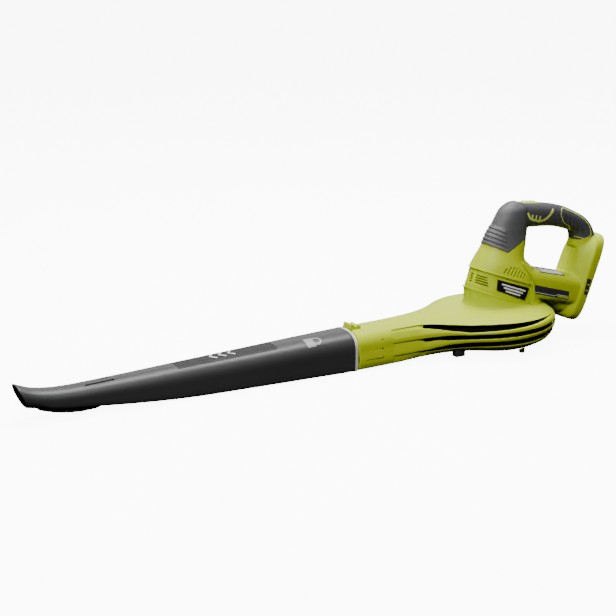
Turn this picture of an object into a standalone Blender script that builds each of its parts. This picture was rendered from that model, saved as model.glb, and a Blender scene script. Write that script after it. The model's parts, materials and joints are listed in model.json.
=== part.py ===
"""Handheld cordless leaf blower: two housing halves, nozzle, grips, fan, motor and battery socket.

Lengths in this file are millimetres measured from the fan axis, with z = 0 on the floor; new meshes are
scaled to metres, and the frame empty carries the fan axis to its place. +X is the rear, -Y the left side.
"""
import math

import bmesh
import bpy
from mathutils import Matrix, Vector

MM = 0.001
FAN_AXIS_X = 279.85
WALL = 2.6
GAP = 0.3
SPLIT_GAP = 0.15
FAR = 400.0

# Fan case: radius, and the levels of its outline from the bottom flat to the top flat.
CASE_RADIUS = 98.0
CASE_LEVELS = (
    (50.0, 3.5), (36.0, 3.5), (21.0, 9.5), (7.6, 18.5), (1.9, 29.5), (0.0, 43.0), (1.5, 48.0),
    (7.0, 52.6), (20.0, 57.2), (37.0, 60.0), (49.0, 61.0),
)
NECK_ANGLES = (-84, -68, -47, -22, 0, 18, 34, 48, 62, 73, 83)
NECK_FRONT = -250.0
NECK_STRAIGHT_END = -185.0
NECK_HALF = 34.0
NECK_HEIGHT = 55.6
CASE_MIDDLE = 32.2
NECK_JOIN_ANGLE = 128.0
TOP_POWER = 2.6
BOTTOM_POWER = 14.0

# Motor turret and front post: height, front x, rear x, half width.
TOWER = (
    (50, -38, 80, 45), (76, -40, 79.5, 44.3), (90, -41.5, 78, 42.5), (103, -38.5, 75, 39.8),
    (116, -34, 64, 36.3), (124, -30, 55, 33.5), (134, -24.5, 53.8, 29.8), (148, -16, 57.2, 25.4),
    (164, -9.5, 59.5, 22), (178, 0, 62, 20.5), (192, 8, 64, 19.2), (204, 17, 62, 16),
    (211.2, 29, 50, 9),
)
# Grip: outer point (x, z), inner point (x, z), half width.
GRIP = (
    ((29, 210.6), (36, 172), 16.5), ((57.8, 209.5), (60, 170.4), 17.5), ((84, 206), (80, 169.4), 17.5),
    ((110, 201.5), (100, 168), 17.5), ((132, 195), (118, 164.6), 17.5), ((152.5, 185.4), (133.5, 160), 18),
    ((169.5, 175.6), (143.5, 156), 18.5), ((180.5, 163.8), (148.5, 151), 19),
    ((186, 150.6), (150.2, 143), 20), ((182, 139), (149, 131), 20),
)
# Battery receiver between turret and foot: x, bottom z, top z, half width.
RECEIVER = ((36, 73.5, 117), (72, 63.5, 108.4), (110, 52.5, 99), (150, 41, 89))
RECEIVER_HALF = 34.0

# Battery foot, in its own tilted frame: depth in front of the mouth, lowest u, highest u, half width.
FOOT_TILT = math.radians(20.9)
MOUTH_CENTRE = Vector((168.8, 0.0, 86.6))
FOOT = ((0, -72, 66, 36), (1.5, -73, 67, 37), (14.5, -73, 60, 37), (16.5, -73, 56, 35), (25, -70, 46, 27),
        (31, -62, 38, 18.5))
RECESS = ((-6, -64, 58, 32), (2, -64, 58, 32), (13, -64, 50, 32))
FOOT_HOLLOW = ((15, -62, 47, 31), (17, -61.5, 45, 30), (25, -57, 36, 22), (27, -55, 34, 17))
TUNNEL = ((12, -46, -6, 27), (16, -46, -6, 27))
HOOK_HOLLOW = ((14, -62, -37, 22), (34, -60, -35, 21), (44, -56, -38, 18))
HOOK = ((8, -70, -30, 27), (34, -67, -28, 26), (44, -62, -30, 23), (50, -55, -36, 17))

# Nozzle: x, bottom z, top z, half width, power of the top curve.
NOZZLE = (
    (-257, 0.6, 56.2, 34.6, 2.6), (-262, 0.5, 56, 34.6, 2.6), (-330, 0.3, 53.2, 32.8, 2.6),
    (-423, 0.3, 49, 30.2, 2.5), (-515, 0.8, 45, 27.2, 2.4), (-600, 5.2, 41, 23.8, 2.3),
    (-644, 8.6, 39.3, 21.8, 2.2), (-680, 10.4, 38.6, 20.4, 2.1), (-706, 12.6, 40, 19.4, 2.05),
    (-726, 15.6, 44, 18.8, 2.0), (-745, 18.5, 52.5, 18.4, 2.0),
)
NOZZLE_WALL = 2.2
MOUTH_LEAN = 7.0
SKID = ((-640, 6.4, 16), (-660, 4.8, 15.5), (-690, 6.6, 14), (-709, 10.6, 13), (-722, 14.4, 11.5))
SPIGOT_FRONT = -292.0
RING_FRONT = -256.7
RING_REAR = -253.0

# Switch and release button.
GRIP_SLOPE = math.radians(5.0)
SLIDER_CENTRE = Vector((66.0, 0.0, 207.4))
SLIDER_LENGTH = 28.0
SLIDER_WIDTH = 15.0
SLIDER_TRAVEL = 6.0
BUTTON_X = -243.0
BUTTON_LENGTH = 18.0
BUTTON_WIDTH = 20.0
WELL_FLOOR = 43.0

# Feet: places of the front pads and of the rear pegs on the right side, mirrored for the left.
PAD_PLACE = (-83.0, 39.0)
PEG_PLACE = (8.5, 70.0)
PEG_RADIUS = 4.5
PAD_HALF = (8.0, 5.5)
FOOT_REACH = 12.0

# Terminal block that closes the receiver: x, bottom z, top z.
TERMINAL_BLOCK = ((74, 68.42, 100.9), (84, 65.52, 98.4))

# Fan and motor, all on the fan axis.
FAN_RADIUS = 62.0
BLADE_COUNT = 9
SCROLL_EYE = 52.0
SHAFT_RADIUS = 2.5
CAN_RADIUS = 22.0
CAN_BOTTOM = 50.2
CAN_TOP = 108.0

# Corners of the label on the receiver's top (x, y), and the way each one grows.
TOP_LABEL = ((72, -27, -1, -1), (118, -27, 1, -1), (133, 27, 1, 1), (88, 27, -1, 1))
SIDE_LABEL_X = (56.0, 122.0)
SIDE_LABEL_Z = (75.5, 88.5)
SIDE_LABEL_FALL = 0.29
BAND_SLOPE = 0.34
BAND_TOP_AT_AXIS = 107.0
BAND_BOTTOM_AT_AXIS = 76.0
BAND_SLOTS_LOW = 86.0
BAND_SLOT_PITCH = 3.8
BAND_SLOT_HEIGHT = 2.1
VENT_LENGTHS = (9.0, 13.0, 14.0, 14.0, 12.0, 10.0, 8.0)
VENT_START = -2.0
VENT_PITCH = 5.4
VENT_HALF = 1.35
VENT_TILT = math.radians(42.0)
REACH = 70.0
SCREWS = ((-28, 68, 14), (43, 67, 30), (-9, 131, 15), (18, 187, 9), (122, 181, 9), (164, 157, 10),
          (109, 44, 14), (-203, 45.5, 14))

COLOURS = {
    "lime": ((0.50, 0.60, 0.035), 0.38, 0.0),
    "pale_lime": ((0.66, 0.74, 0.22), 0.42, 0.0),
    "nozzle_black": ((0.022, 0.022, 0.024), 0.40, 0.0),
    "ring_grey": ((0.62, 0.62, 0.58), 0.45, 0.0),
    "post_grey": ((0.060, 0.060, 0.063), 0.62, 0.0),
    "grip_grey": ((0.045, 0.045, 0.048), 0.70, 0.0),
    "badge_black": ((0.010, 0.010, 0.011), 0.28, 0.0),
    "label_dark": ((0.045, 0.040, 0.055), 0.35, 0.0),
    "black_plastic": ((0.018, 0.018, 0.020), 0.50, 0.0),
    "rubber": ((0.015, 0.015, 0.015), 0.80, 0.0),
    "steel": ((0.56, 0.56, 0.57), 0.32, 1.0),
    "zinc": ((0.48, 0.49, 0.50), 0.40, 1.0),
    "copper": ((0.72, 0.32, 0.16), 0.35, 1.0),
    "brass": ((0.72, 0.55, 0.24), 0.35, 1.0),
    "ferrite": ((0.05, 0.05, 0.055), 0.65, 0.0),
    "carbon": ((0.03, 0.03, 0.03), 0.75, 0.0),
    "red_wire": ((0.45, 0.02, 0.02), 0.45, 0.0),
    "black_wire": ((0.015, 0.015, 0.015), 0.45, 0.0),
}


def start_scene():
    for obj in list(bpy.data.objects):
        bpy.data.objects.remove(obj, do_unlink=True)
    collection = bpy.data.collections.new("leaf_blower")
    bpy.context.scene.collection.children.link(collection)
    frame = bpy.data.objects.new("frame", None)
    frame.location = (FAN_AXIS_X * MM, 0.0, 0.0)
    collection.objects.link(frame)
    return collection, frame


PARTS, FRAME = start_scene()


def material(name):
    found = bpy.data.materials.get(name)
    if found:
        return found
    colour, roughness, metallic = COLOURS[name]
    made = bpy.data.materials.new(name)
    made.use_nodes = True
    shader = made.node_tree.nodes["Principled BSDF"]
    shader.inputs["Base Color"].default_value = (*colour, 1.0)
    shader.inputs["Roughness"].default_value = roughness
    shader.inputs["Metallic"].default_value = metallic
    made.diffuse_color = (*colour, 1.0)
    return made


def link(name, mesh):
    obj = bpy.data.objects.new(name, mesh)
    PARTS.objects.link(obj)
    return obj


def finish(obj, name, colour, smooth=True):
    """Name a solid, give it its material and hang it on the frame."""
    obj.name = name
    obj.data.name = name
    obj.data.materials.clear()
    obj.data.materials.append(material(colour))
    if smooth:
        obj.data.shade_smooth()
        obj.data.set_sharp_from_angle(angle=math.radians(35.0))
    obj.parent = FRAME
    return obj


def mesh_object(bm, name="solid"):
    bmesh.ops.recalc_face_normals(bm, faces=bm.faces)
    mesh = bpy.data.meshes.new(name)
    bm.to_mesh(mesh)
    bm.free()
    return link(name, mesh)


def bake(obj):
    """Apply the modifiers of a solid."""
    bpy.context.view_layer.update()
    graph = bpy.context.evaluated_depsgraph_get()
    mesh = bpy.data.meshes.new_from_object(obj.evaluated_get(graph))
    obj.modifiers.clear()
    obj.data = mesh
    return obj


def combine(obj, other, operation, keep=False):
    """Boolean obj with other, and drop other unless it is kept."""
    cut = obj.modifiers.new(operation, "BOOLEAN")
    cut.operation = operation
    cut.solver = "MANIFOLD"
    cut.object = other
    bake(obj)
    if not keep:
        bpy.data.objects.remove(other, do_unlink=True)
    return obj


def union(obj, other):
    return combine(obj, other, "UNION")


def cut(obj, other, keep=False):
    return combine(obj, other, "DIFFERENCE", keep)


def keep_inside(obj, other, keep=False):
    return combine(obj, other, "INTERSECT", keep)


def copy_of(obj):
    return link(obj.name + "_copy", obj.data.copy())


def box(low, high, tilt=0.0, pivot=(0.0, 0.0, 0.0)):
    """A block between two corners, turned by tilt about Y through pivot."""
    low, high, pivot = Vector(low), Vector(high), Vector(pivot)
    bm = bmesh.new()
    bmesh.ops.create_cube(bm, size=1.0)
    size = high - low
    bmesh.ops.scale(bm, vec=size, verts=bm.verts)
    bmesh.ops.translate(bm, vec=(low + high) / 2 - pivot, verts=bm.verts)
    bmesh.ops.rotate(bm, cent=(0, 0, 0), matrix=Matrix.Rotation(tilt, 3, "Y"), verts=bm.verts)
    bmesh.ops.translate(bm, vec=pivot, verts=bm.verts)
    bmesh.ops.scale(bm, vec=(MM, MM, MM), verts=bm.verts)
    return mesh_object(bm)


def rod(start, end, radius, sides=16):
    """A cylinder from one point to another."""
    start, end = Vector(start), Vector(end)
    bm = bmesh.new()
    bmesh.ops.create_cone(bm, cap_ends=True, segments=sides, radius1=radius, radius2=radius,
                          depth=(end - start).length)
    turn = (end - start).to_track_quat("Z", "Y").to_matrix()
    bmesh.ops.rotate(bm, cent=(0, 0, 0), matrix=turn, verts=bm.verts)
    bmesh.ops.translate(bm, vec=(start + end) / 2, verts=bm.verts)
    bmesh.ops.scale(bm, vec=(MM, MM, MM), verts=bm.verts)
    return mesh_object(bm)


def loft(rings):
    """A closed solid through rings of equal point count, capped at both ends."""
    bm = bmesh.new()
    rows = [[bm.verts.new(Vector(point) * MM) for point in ring] for ring in rings]
    count = len(rows[0])
    for row, after in zip(rows, rows[1:]):
        for i in range(count):
            j = (i + 1) % count
            bm.faces.new((row[i], row[j], after[j], after[i]))
    bm.faces.new(rows[0])
    bm.faces.new(rows[-1])
    return mesh_object(bm)


def turned(profile, steps=32, open_profile=False):
    """A turned shape about the fan axis; the profile runs down its outer side."""
    mesh = bpy.data.meshes.new("profile")
    points = [(radius * MM, 0.0, height * MM) for radius, height in profile]
    edges = [(i, i + 1) for i in range(len(points) - 1)]
    if not open_profile:
        edges.append((len(points) - 1, 0))
    mesh.from_pydata(points, edges, [])
    obj = link("turned", mesh)
    screw = obj.modifiers.new("Screw", "SCREW")
    screw.steps = steps
    screw.render_steps = steps
    screw.use_merge_vertices = True
    screw.merge_threshold = 1e-5
    return bake(obj)


def tube(points, radius, resolution=2):
    """A round wire through points, as a curve that is then made a mesh."""
    curve = bpy.data.curves.new("wire", "CURVE")
    curve.dimensions = "3D"
    curve.bevel_depth = radius * MM
    curve.bevel_resolution = resolution
    curve.use_fill_caps = True
    spline = curve.splines.new("POLY")
    spline.points.add(len(points) - 1)
    for target, point in zip(spline.points, points):
        target.co = (*(Vector(point) * MM), 1.0)
    holder = bpy.data.objects.new("wire", curve)
    PARTS.objects.link(holder)
    bpy.context.view_layer.update()
    graph = bpy.context.evaluated_depsgraph_get()
    mesh = bpy.data.meshes.new_from_object(holder.evaluated_get(graph))
    bpy.data.objects.remove(holder, do_unlink=True)
    bm = bmesh.new()
    bm.from_mesh(mesh)
    bmesh.ops.remove_doubles(bm, verts=bm.verts, dist=1e-6)
    return mesh_object(bm)


def smooth_route(points, per_span):
    """Points along a Catmull-Rom curve through the route's own points."""
    route = [Vector(p) for p in points]
    padded = [route[0] * 2 - route[1], *route, route[-1] * 2 - route[-2]]
    out = []
    for a, b, c, d in zip(padded, padded[1:], padded[2:], padded[3:]):
        for step in range(per_span):
            t = step / per_span
            out.append(0.5 * (2 * b + (c - a) * t + (2 * a - 5 * b + 4 * c - d) * t * t
                              + (3 * b - a - 3 * c + d) * t ** 3))
    out.append(route[-1])
    return out


def arch(angle, half, low, high, top_power=TOP_POWER, bottom_power=BOTTOM_POWER):
    """A point (y, z) of a tube section: rounded above, nearly square below."""
    power = top_power if math.sin(angle) >= 0 else bottom_power
    across = math.copysign(abs(math.cos(angle)) ** (2 / power), math.cos(angle))
    up = math.copysign(abs(math.sin(angle)) ** (2 / power), math.sin(angle))
    return half * across, (low + high) / 2 + (high - low) / 2 * up


def arch_ring(x, half, low, high, count=24, top_power=TOP_POWER, bottom_power=BOTTOM_POWER, lean=0.0):
    """A section across X; lean pushes its top forwards and its bottom back."""
    ring = []
    for i in range(count):
        y, z = arch(2 * math.pi * (i + 0.5) / count, half, low, high, top_power, bottom_power)
        ring.append((x - lean * (2 * z - low - high) / (high - low), y, z))
    return ring


def oval(centre, along, half_along, half_y, power, count):
    """A section spanned by a direction in the XZ plane and by Y."""
    ring = []
    for i in range(count):
        angle = 2 * math.pi * (i + 0.5) / count
        a = math.copysign(abs(math.cos(angle)) ** (2 / power), math.cos(angle))
        b = math.copysign(abs(math.sin(angle)) ** (2 / power), math.sin(angle))
        ring.append(centre + along * (half_along * a) + Vector((0, half_y * b, 0)))
    return ring


# ---- the fan case and neck -------------------------------------------------

def hermite(p, q, p_slope, q_slope, t):
    h = (2 * t ** 3 - 3 * t * t + 1, t ** 3 - 2 * t * t + t, -2 * t ** 3 + 3 * t * t, t ** 3 - t * t)
    return p * h[0] + p_slope * h[1] + q * h[2] + q_slope * h[3]


def half_outline():
    """Plan outline from the neck's front to the rear, on the +Y side: (point, inward normal, case share)."""
    join = math.radians(NECK_JOIN_ANGLE)
    start = Vector((NECK_STRAIGHT_END, NECK_HALF + 0.5))
    stop = CASE_RADIUS * Vector((math.cos(join), math.sin(join)))
    reach = (stop - start).length
    tangent = Vector((math.sin(join), -math.cos(join))) * reach
    points = [Vector((x, NECK_HALF)) for x in (NECK_FRONT, -216.0)]
    points += [hermite(start, stop, Vector((reach, 0)), tangent, i / 5) for i in range(5)]
    points += [CASE_RADIUS * Vector((math.cos(a), math.sin(a)))
               for a in (join * (1 - i / 11) for i in range(12))]
    samples = []
    for i, point in enumerate(points):
        before = points[max(i - 1, 0)]
        after = points[min(i + 1, len(points) - 1)]
        along = (after - before).normalized()
        normal = Vector((along.y, -along.x))
        if i == len(points) - 1:
            normal = Vector((-1, 0))
        share = min(max((point.x + 190.0) / 125.0, 0.0), 1.0)
        samples.append((point, normal, share * share * (3 - 2 * share)))
    return samples


def neck_low(x):
    return 0.8 + 2.7 * min(max((x - NECK_FRONT) / 100.0, 0.0), 1.0)


def level_of(k, sample, shrink):
    """Inset and height of level k at an outline sample, with the walls moved in by shrink."""
    point, _, share = sample
    low = neck_low(point.x)
    y, z = arch(math.radians(NECK_ANGLES[k]), NECK_HALF, low, low + NECK_HEIGHT)
    inset = (NECK_HALF - y) * (1 - share) + CASE_LEVELS[k][0] * share
    height = z * (1 - share) + CASE_LEVELS[k][1] * share
    middle = (low + NECK_HEIGHT / 2) * (1 - share) + CASE_MIDDLE * share
    half_height = NECK_HEIGHT / 2 * (1 - share) + (CASE_LEVELS[-1][1] - CASE_MIDDLE) * share
    squeeze = 1 - shrink / half_height
    widest = 1 - inset / (NECK_HALF * (1 - share) + CASE_RADIUS * share)
    return inset + shrink * widest ** 0.25, middle + (height - middle) * squeeze


def case_solid(shrink, front):
    """The neck and fan case as one solid: levels of the outline, zipped across at bottom and top."""
    samples = half_outline()
    bm = bmesh.new()
    rows = []
    for k in range(len(CASE_LEVELS)):
        row = []
        for sample in samples:
            inset, z = level_of(k, sample, shrink)
            spot = sample[0] + sample[1] * inset
            row.append(Vector((spot.x, spot.y, z)))
        row[0].x = front
        mirror = [Vector((p.x, -p.y, p.z)) for p in reversed(row[:-1])]
        rows.append([bm.verts.new(p * MM) for p in row + mirror])
    last = len(rows[0]) - 1
    for row, above in zip(rows, rows[1:]):
        for i in range(last):
            bm.faces.new((row[i], row[i + 1], above[i + 1], above[i]))
    for row in (rows[0], rows[-1]):
        for i in range(last // 2 - 1):
            bm.faces.new((row[i], row[i + 1], row[last - i - 1], row[last - i]))
        middle = last // 2
        bm.faces.new((row[middle - 1], row[middle], row[middle + 1]))
    front_face = [row[0] for row in rows] + [row[last] for row in reversed(rows)]
    bm.faces.new(front_face)
    return mesh_object(bm)


def spigot(inset, front, rear):
    """The neck's front sleeve, which follows the nozzle's taper."""
    rings = []
    for x in (front, rear):
        rings.append(arch_ring(x, *nozzle_section(x, inset)))
    return loft(rings)


def nozzle_section(x, inset):
    """Half width, bottom and top of the nozzle's outer section at x, less an inset."""
    for ahead, behind in zip(NOZZLE[1:], NOZZLE):
        if ahead[0] <= x:
            break
    t = (x - behind[0]) / (ahead[0] - behind[0])
    low = behind[1] + (ahead[1] - behind[1]) * t
    high = behind[2] + (ahead[2] - behind[2]) * t
    half = behind[3] + (ahead[3] - behind[3]) * t
    return half - inset, low + inset, high - inset


# ---- turret, grip, receiver and foot ---------------------------------------

def tower(inset, lowest=0, highest=None, count=22):
    rings = []
    for z, front, rear, half in TOWER[lowest:highest]:
        centre = Vector(((front + rear) / 2, 0, z))
        rings.append(oval(centre, Vector((1, 0, 0)), (rear - front) / 2 - inset, half - inset, 2.15,
                          count))
    if highest is None:
        rings[-1] = [Vector((p.x, p.y, p.z - inset)) for p in rings[-1]]
    return loft(rings)


def grip(inset, first=0, last=None):
    rings = []
    for outer, inner, half in GRIP[first:last]:
        top = Vector((outer[0], 0, outer[1]))
        low = Vector((inner[0], 0, inner[1]))
        rings.append(oval((top + low) / 2, (top - low).normalized(), (top - low).length / 2 - inset,
                          half - inset, 2.35, 16))
    return loft(rings)


def receiver(inset):
    return loft([arch_ring(x, RECEIVER_HALF - inset, low + inset, high - inset, 20, 3.4, 6.0)
                 for x, low, high in RECEIVER])


def foot_point(depth, u, y=0.0):
    """A point of the battery foot from its depth in front of the mouth and its height along the mouth."""
    out = Vector((math.cos(FOOT_TILT), 0, -math.sin(FOOT_TILT)))
    up = Vector((math.sin(FOOT_TILT), 0, math.cos(FOOT_TILT)))
    return MOUTH_CENTRE - out * depth + up * u + Vector((0, y, 0))


def foot_block(sections, power=5.0, count=20):
    up = Vector((math.sin(FOOT_TILT), 0, math.cos(FOOT_TILT)))
    rings = [oval(foot_point(depth, (low + high) / 2), up, (high - low) / 2, half, power, count)
             for depth, low, high, half in sections]
    return loft(rings)


def outer_solid():
    """Everything the two housing halves enclose, before hollowing."""
    body = case_solid(0.0, NECK_FRONT)
    body = union(body, tower(0.0))
    body = union(body, grip(0.0))
    body = union(body, receiver(0.0))
    body = union(body, foot_block(FOOT))
    body = union(body, foot_block(HOOK, 3.0))
    return union(body, spigot(NOZZLE_WALL + 0.4, SPIGOT_FRONT, NECK_FRONT + 4.0))


def cavity():
    """The air path, the hollow of turret and handle, and the battery socket, less posts and well."""
    space = case_solid(WALL, NECK_FRONT - 1.0)
    union(space, spigot(NOZZLE_WALL + 2.5, SPIGOT_FRONT - 6.0, NECK_FRONT + 8.0))
    union(space, tower(3.4, 0, 12, 16))
    union(space, grip(4.6, 0, 8))
    union(space, receiver(2.8))
    for hollow in (RECESS, FOOT_HOLLOW, TUNNEL, HOOK_HOLLOW):
        union(space, foot_block(hollow, 5.0, 16))
    for x, z, _ in SCREWS:
        cut(space, rod((x, -70, z), (x, 70, z), 4.6, 6))
    half_x, half_y = BUTTON_LENGTH / 2 + 2.3, BUTTON_WIDTH / 2 + 2.3
    return cut(space, box((BUTTON_X - half_x, -half_y, WELL_FLOOR - 2.0), (BUTTON_X + half_x, half_y, 70.0)))


def half_of(solid, side):
    """The part of a solid on one side of the split plane; side is -1 for left."""
    near, far = SPLIT_GAP * side, FAR * side
    low = (-FAR * 2, min(near, far), -FAR)
    high = (FAR * 2, max(near, far), FAR)
    return keep_inside(copy_of(solid), box(low, high))


# ---- details of the housing ------------------------------------------------

def inset_at(z, share):
    """How far the shell stands inside its plan outline at a height."""
    rows = []
    for angle, (inset, height) in zip(NECK_ANGLES, CASE_LEVELS):
        y, neck_z = arch(math.radians(angle), NECK_HALF, 2.0, 2.0 + NECK_HEIGHT)
        rows.append(((NECK_HALF - y) * (1 - share) + inset * share, neck_z * (1 - share) + height * share))
    for (low_in, low_z), (high_in, high_z) in zip(rows, rows[1:]):
        if low_z <= z <= high_z and high_z > low_z:
            return low_in + (high_in - low_in) * (z - low_z) / (high_z - low_z)
    return rows[-1][0]


GROOVES = ((47.5, 3.0, -158.0), (34.0, 6.0, -150.0), (20.5, 8.0, -140.0))
GROOVE_END_ANGLE = -0.75
GROOVE_HALF = 3.1


def groove_cutter(middle, rise, start_x, side):
    """A louvre: a slit that follows the outline, widest in its middle and closed at both ends."""
    samples = [s for s in half_outline() if s[0].x >= start_x]
    samples = [s for s in samples if math.atan2(s[0].y, s[0].x) >= -GROOVE_END_ANGLE]
    rings = []
    count = len(samples)
    for i, (point, normal, share) in enumerate(samples):
        t = i / (count - 1)
        half = 0.35 + GROOVE_HALF * min(1.0, 3.2 * t, 2.6 * (1 - t)) ** 0.8
        z = middle + rise * max(t - 0.45, 0.0) ** 1.5
        depth = inset_at(z, share) + WALL + 2.4
        out, deep = point - normal * 6.0, point + normal * depth
        rings.append([(out.x, side * out.y, z - half), (out.x, side * out.y, z + half),
                      (deep.x, side * deep.y, z + half), (deep.x, side * deep.y, z - half)])
    return loft(rings)


def slanted_slab(low_at_axis, high_at_axis, front, rear, y_low, y_high):
    """A slab between two parallel planes that fall towards the rear."""
    rings = []
    for x in (front, rear):
        low, high = low_at_axis - BAND_SLOPE * x, high_at_axis - BAND_SLOPE * x
        rings.append([(x, y_low, low), (x, y_high, low), (x, y_high, high), (x, y_low, high)])
    return loft(rings)


def skin(solid_at, outer, inner, region):
    """A conformal piece of a surface: the layer between two insets, inside a region."""
    layer = keep_inside(solid_at(outer), region)
    return cut(layer, solid_at(inner))


def band_recess(body):
    region = slanted_slab(BAND_BOTTOM_AT_AXIS, BAND_TOP_AT_AXIS, -70, 46, -60, 60)
    return cut(body, skin(lambda i: tower(i, 1, 11), -3.0, 1.7, region))


def side_slots(body, side):
    """Four slots at the front of the band and seven slanted slots above it."""
    near, far = sorted((side * 9.0, side * REACH))
    for row in range(4):
        height = BAND_SLOTS_LOW + row * BAND_SLOT_PITCH
        cut(body, slanted_slab(height, height + BAND_SLOT_HEIGHT, -REACH, -24.0, near, far))
    near, far = sorted((0.0, side * REACH))
    for index, length in enumerate(VENT_LENGTHS):
        x = VENT_START + index * VENT_PITCH
        base = BAND_TOP_AT_AXIS + 5.5 - BAND_SLOPE * x
        low = (x - VENT_HALF, near, base)
        high = (x + VENT_HALF, far, base + length)
        cut(body, box(low, high, VENT_TILT, (x, 0, base)))
    return body


def grip_regions():
    """Where the soft grips lie: the front post above its V line, and the grip behind it."""
    post = loft([[(-60, y, 174.0), (11.0, y, 141.5), (46.5, y, 156.5), (46.5, y, 230), (-60, y, 230)]
                 for y in (-50, 50)])
    rear = loft([[(47.1, y, 150), (137, y, 140), (200, y, 152), (200, y, 230), (47.1, y, 230)]
                 for y in (-50, 50)])
    return post, rear


def handle_solid(inset):
    return union(tower(inset, 7), grip(inset))


def screw_holes(body, screw):
    """A pilot hole from the left, a clearance hole and a counterbore on the right."""
    x, z, seat = screw
    cut(body, rod((x, -13, z), (x, seat + 1, z), 1.9, 8))
    return cut(body, rod((x, seat, z), (x, 90, z), 3.8, 12))


def slider_axes():
    forwards = Vector((-math.cos(GRIP_SLOPE), 0, math.sin(GRIP_SLOPE)))
    upwards = Vector((math.sin(GRIP_SLOPE), 0, math.cos(GRIP_SLOPE)))
    return forwards, upwards


def slider_block(front, rear, low, high, half):
    """A block in the slider's own axes, lengths measured from its centre."""
    forwards, upwards = slider_axes()
    rings = []
    for distance in (front, rear):
        base = SLIDER_CENTRE + forwards * distance
        rings.append([base + upwards * level + Vector((0, y, 0))
                      for y, level in ((-half, low), (half, low), (half, high), (-half, high))])
    return loft(rings)


def switch_pocket(body):
    reach = SLIDER_LENGTH / 2
    cut(body, slider_block(reach + SLIDER_TRAVEL + 0.5, -reach - 0.5, -3.6, 12, SLIDER_WIDTH / 2 + 0.5))
    return cut(body, slider_block(SLIDER_TRAVEL + 5, -5, -12, 0, 4.0))


def button_well(body):
    """The opening of the latch button's well in the neck's top."""
    half_x, half_y = BUTTON_LENGTH / 2 + 0.5, BUTTON_WIDTH / 2 + 0.5
    return cut(body, box((BUTTON_X - half_x, -half_y, WELL_FLOOR), (BUTTON_X + half_x, half_y, 68.0)))


def label_regions(grow):
    """Prisms over the two side labels and the top label, grown by a margin."""
    front, rear = SIDE_LABEL_X
    low, high = SIDE_LABEL_Z
    side = []
    for sign in (-1, 1):
        rings = []
        for x in (front - grow, rear + grow):
            fall = SIDE_LABEL_FALL * (x - front)
            rings.append([(x, sign * y, z - fall) for y, z in ((20, low - grow), (50, low - grow),
                                                               (50, high + grow), (20, high + grow))])
        side.append(loft(rings))
    top = loft([[(x + grow * a, y + grow * b, z) for x, y, a, b in TOP_LABEL] for z in (80, 125)])
    return side, top


def make_housing():
    body = outer_solid()
    cut(body, cavity())
    cut(body, rod((0, 0, -10), (0, 0, 8), 50.3, 48))
    band_recess(body)
    for side in (-1, 1):
        for groove in GROOVES:
            cut(body, groove_cutter(*groove, side))
        side_slots(body, side)
    for region in grip_regions():
        cut(body, skin(handle_solid, -2.0, 2.1, region))
    sides, top = label_regions(GAP)
    for region in (*sides, top):
        cut(body, skin(receiver, -2.0, 0.9, region))
    switch_pocket(body)
    button_well(body)
    for screw in SCREWS:
        screw_holes(body, screw)
    left, right = half_of(body, -1), half_of(body, 1)
    bpy.data.objects.remove(body, do_unlink=True)
    finish(left, "housing_left", "lime")
    finish(right, "housing_right", "lime")


def make_grips():
    kinds = zip(("post_grip", "handle_grip"), ("post_grey", "grip_grey"), grip_regions())
    for label, colour, region in kinds:
        layer = skin(handle_solid, 0.0, 1.8, region)
        switch_pocket(layer)
        for screw in SCREWS:
            x, z, seat = screw
            cut(layer, rod((x, 5, z), (x, 90, z), 3.8, 12))
        for side, word in ((-1, "left"), (1, "right")):
            finish(half_of(layer, side), f"{label}_{word}", colour)
        bpy.data.objects.remove(layer, do_unlink=True)


def make_plates():
    for side, word in ((-1, "left"), (1, "right")):
        low, high = sorted((side * 15.0, side * 60.0))
        region = loft([[(-15, y, 89.5), (31, y, 70.2), (41, y, 87.3), (-12, y, 105.3)] for y in (low, high)])
        badge = skin(lambda i: tower(i, 1, 11), -0.2, 1.4, region)
        finish(badge, f"badge_{word}", "badge_black")
    sides, top = label_regions(0.0)
    for region, word in zip(sides, ("left", "right")):
        finish(skin(receiver, 0.0, 0.6, region), f"side_label_{word}", "label_dark")
    finish(skin(receiver, 0.0, 0.6, top), "top_label", "label_dark")


# ---- nozzle, latch, switch and feet ----------------------------------------

def nozzle_solid(inset, reach=0.0):
    rings = []
    for i, (x, low, high, half, power) in enumerate(NOZZLE):
        lean = MOUTH_LEAN * max(0, i - len(NOZZLE) + 3) / 2
        at = x
        if i == 0:
            at = x + reach
        if i == len(NOZZLE) - 1:
            at = x - reach
        rings.append(arch_ring(at, half - inset, low + inset, high - inset, 24, power,
                               BOTTOM_POWER + (2.2 - BOTTOM_POWER) * min(1.0, i / 9), lean))
    return loft(rings)


def make_nozzle():
    nozzle = nozzle_solid(0.0)
    skid = loft([[(x, -half, 24), (x, half, 24), (x, half, low), (x, -half, low)] for x, low, half in SKID])
    union(nozzle, skid)
    cut(nozzle, nozzle_solid(NOZZLE_WALL, 4.0))
    finish(nozzle, "nozzle", "nozzle_black")
    ring = loft([arch_ring(x, 34.9, 0.4, 56.6) for x in (RING_FRONT, RING_REAR)])
    cut(ring, loft([arch_ring(x, 32.6, 2.8, 54.2) for x in (RING_FRONT - 2, RING_REAR + 2)]))
    finish(ring, "nozzle_ring", "ring_grey")


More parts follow.
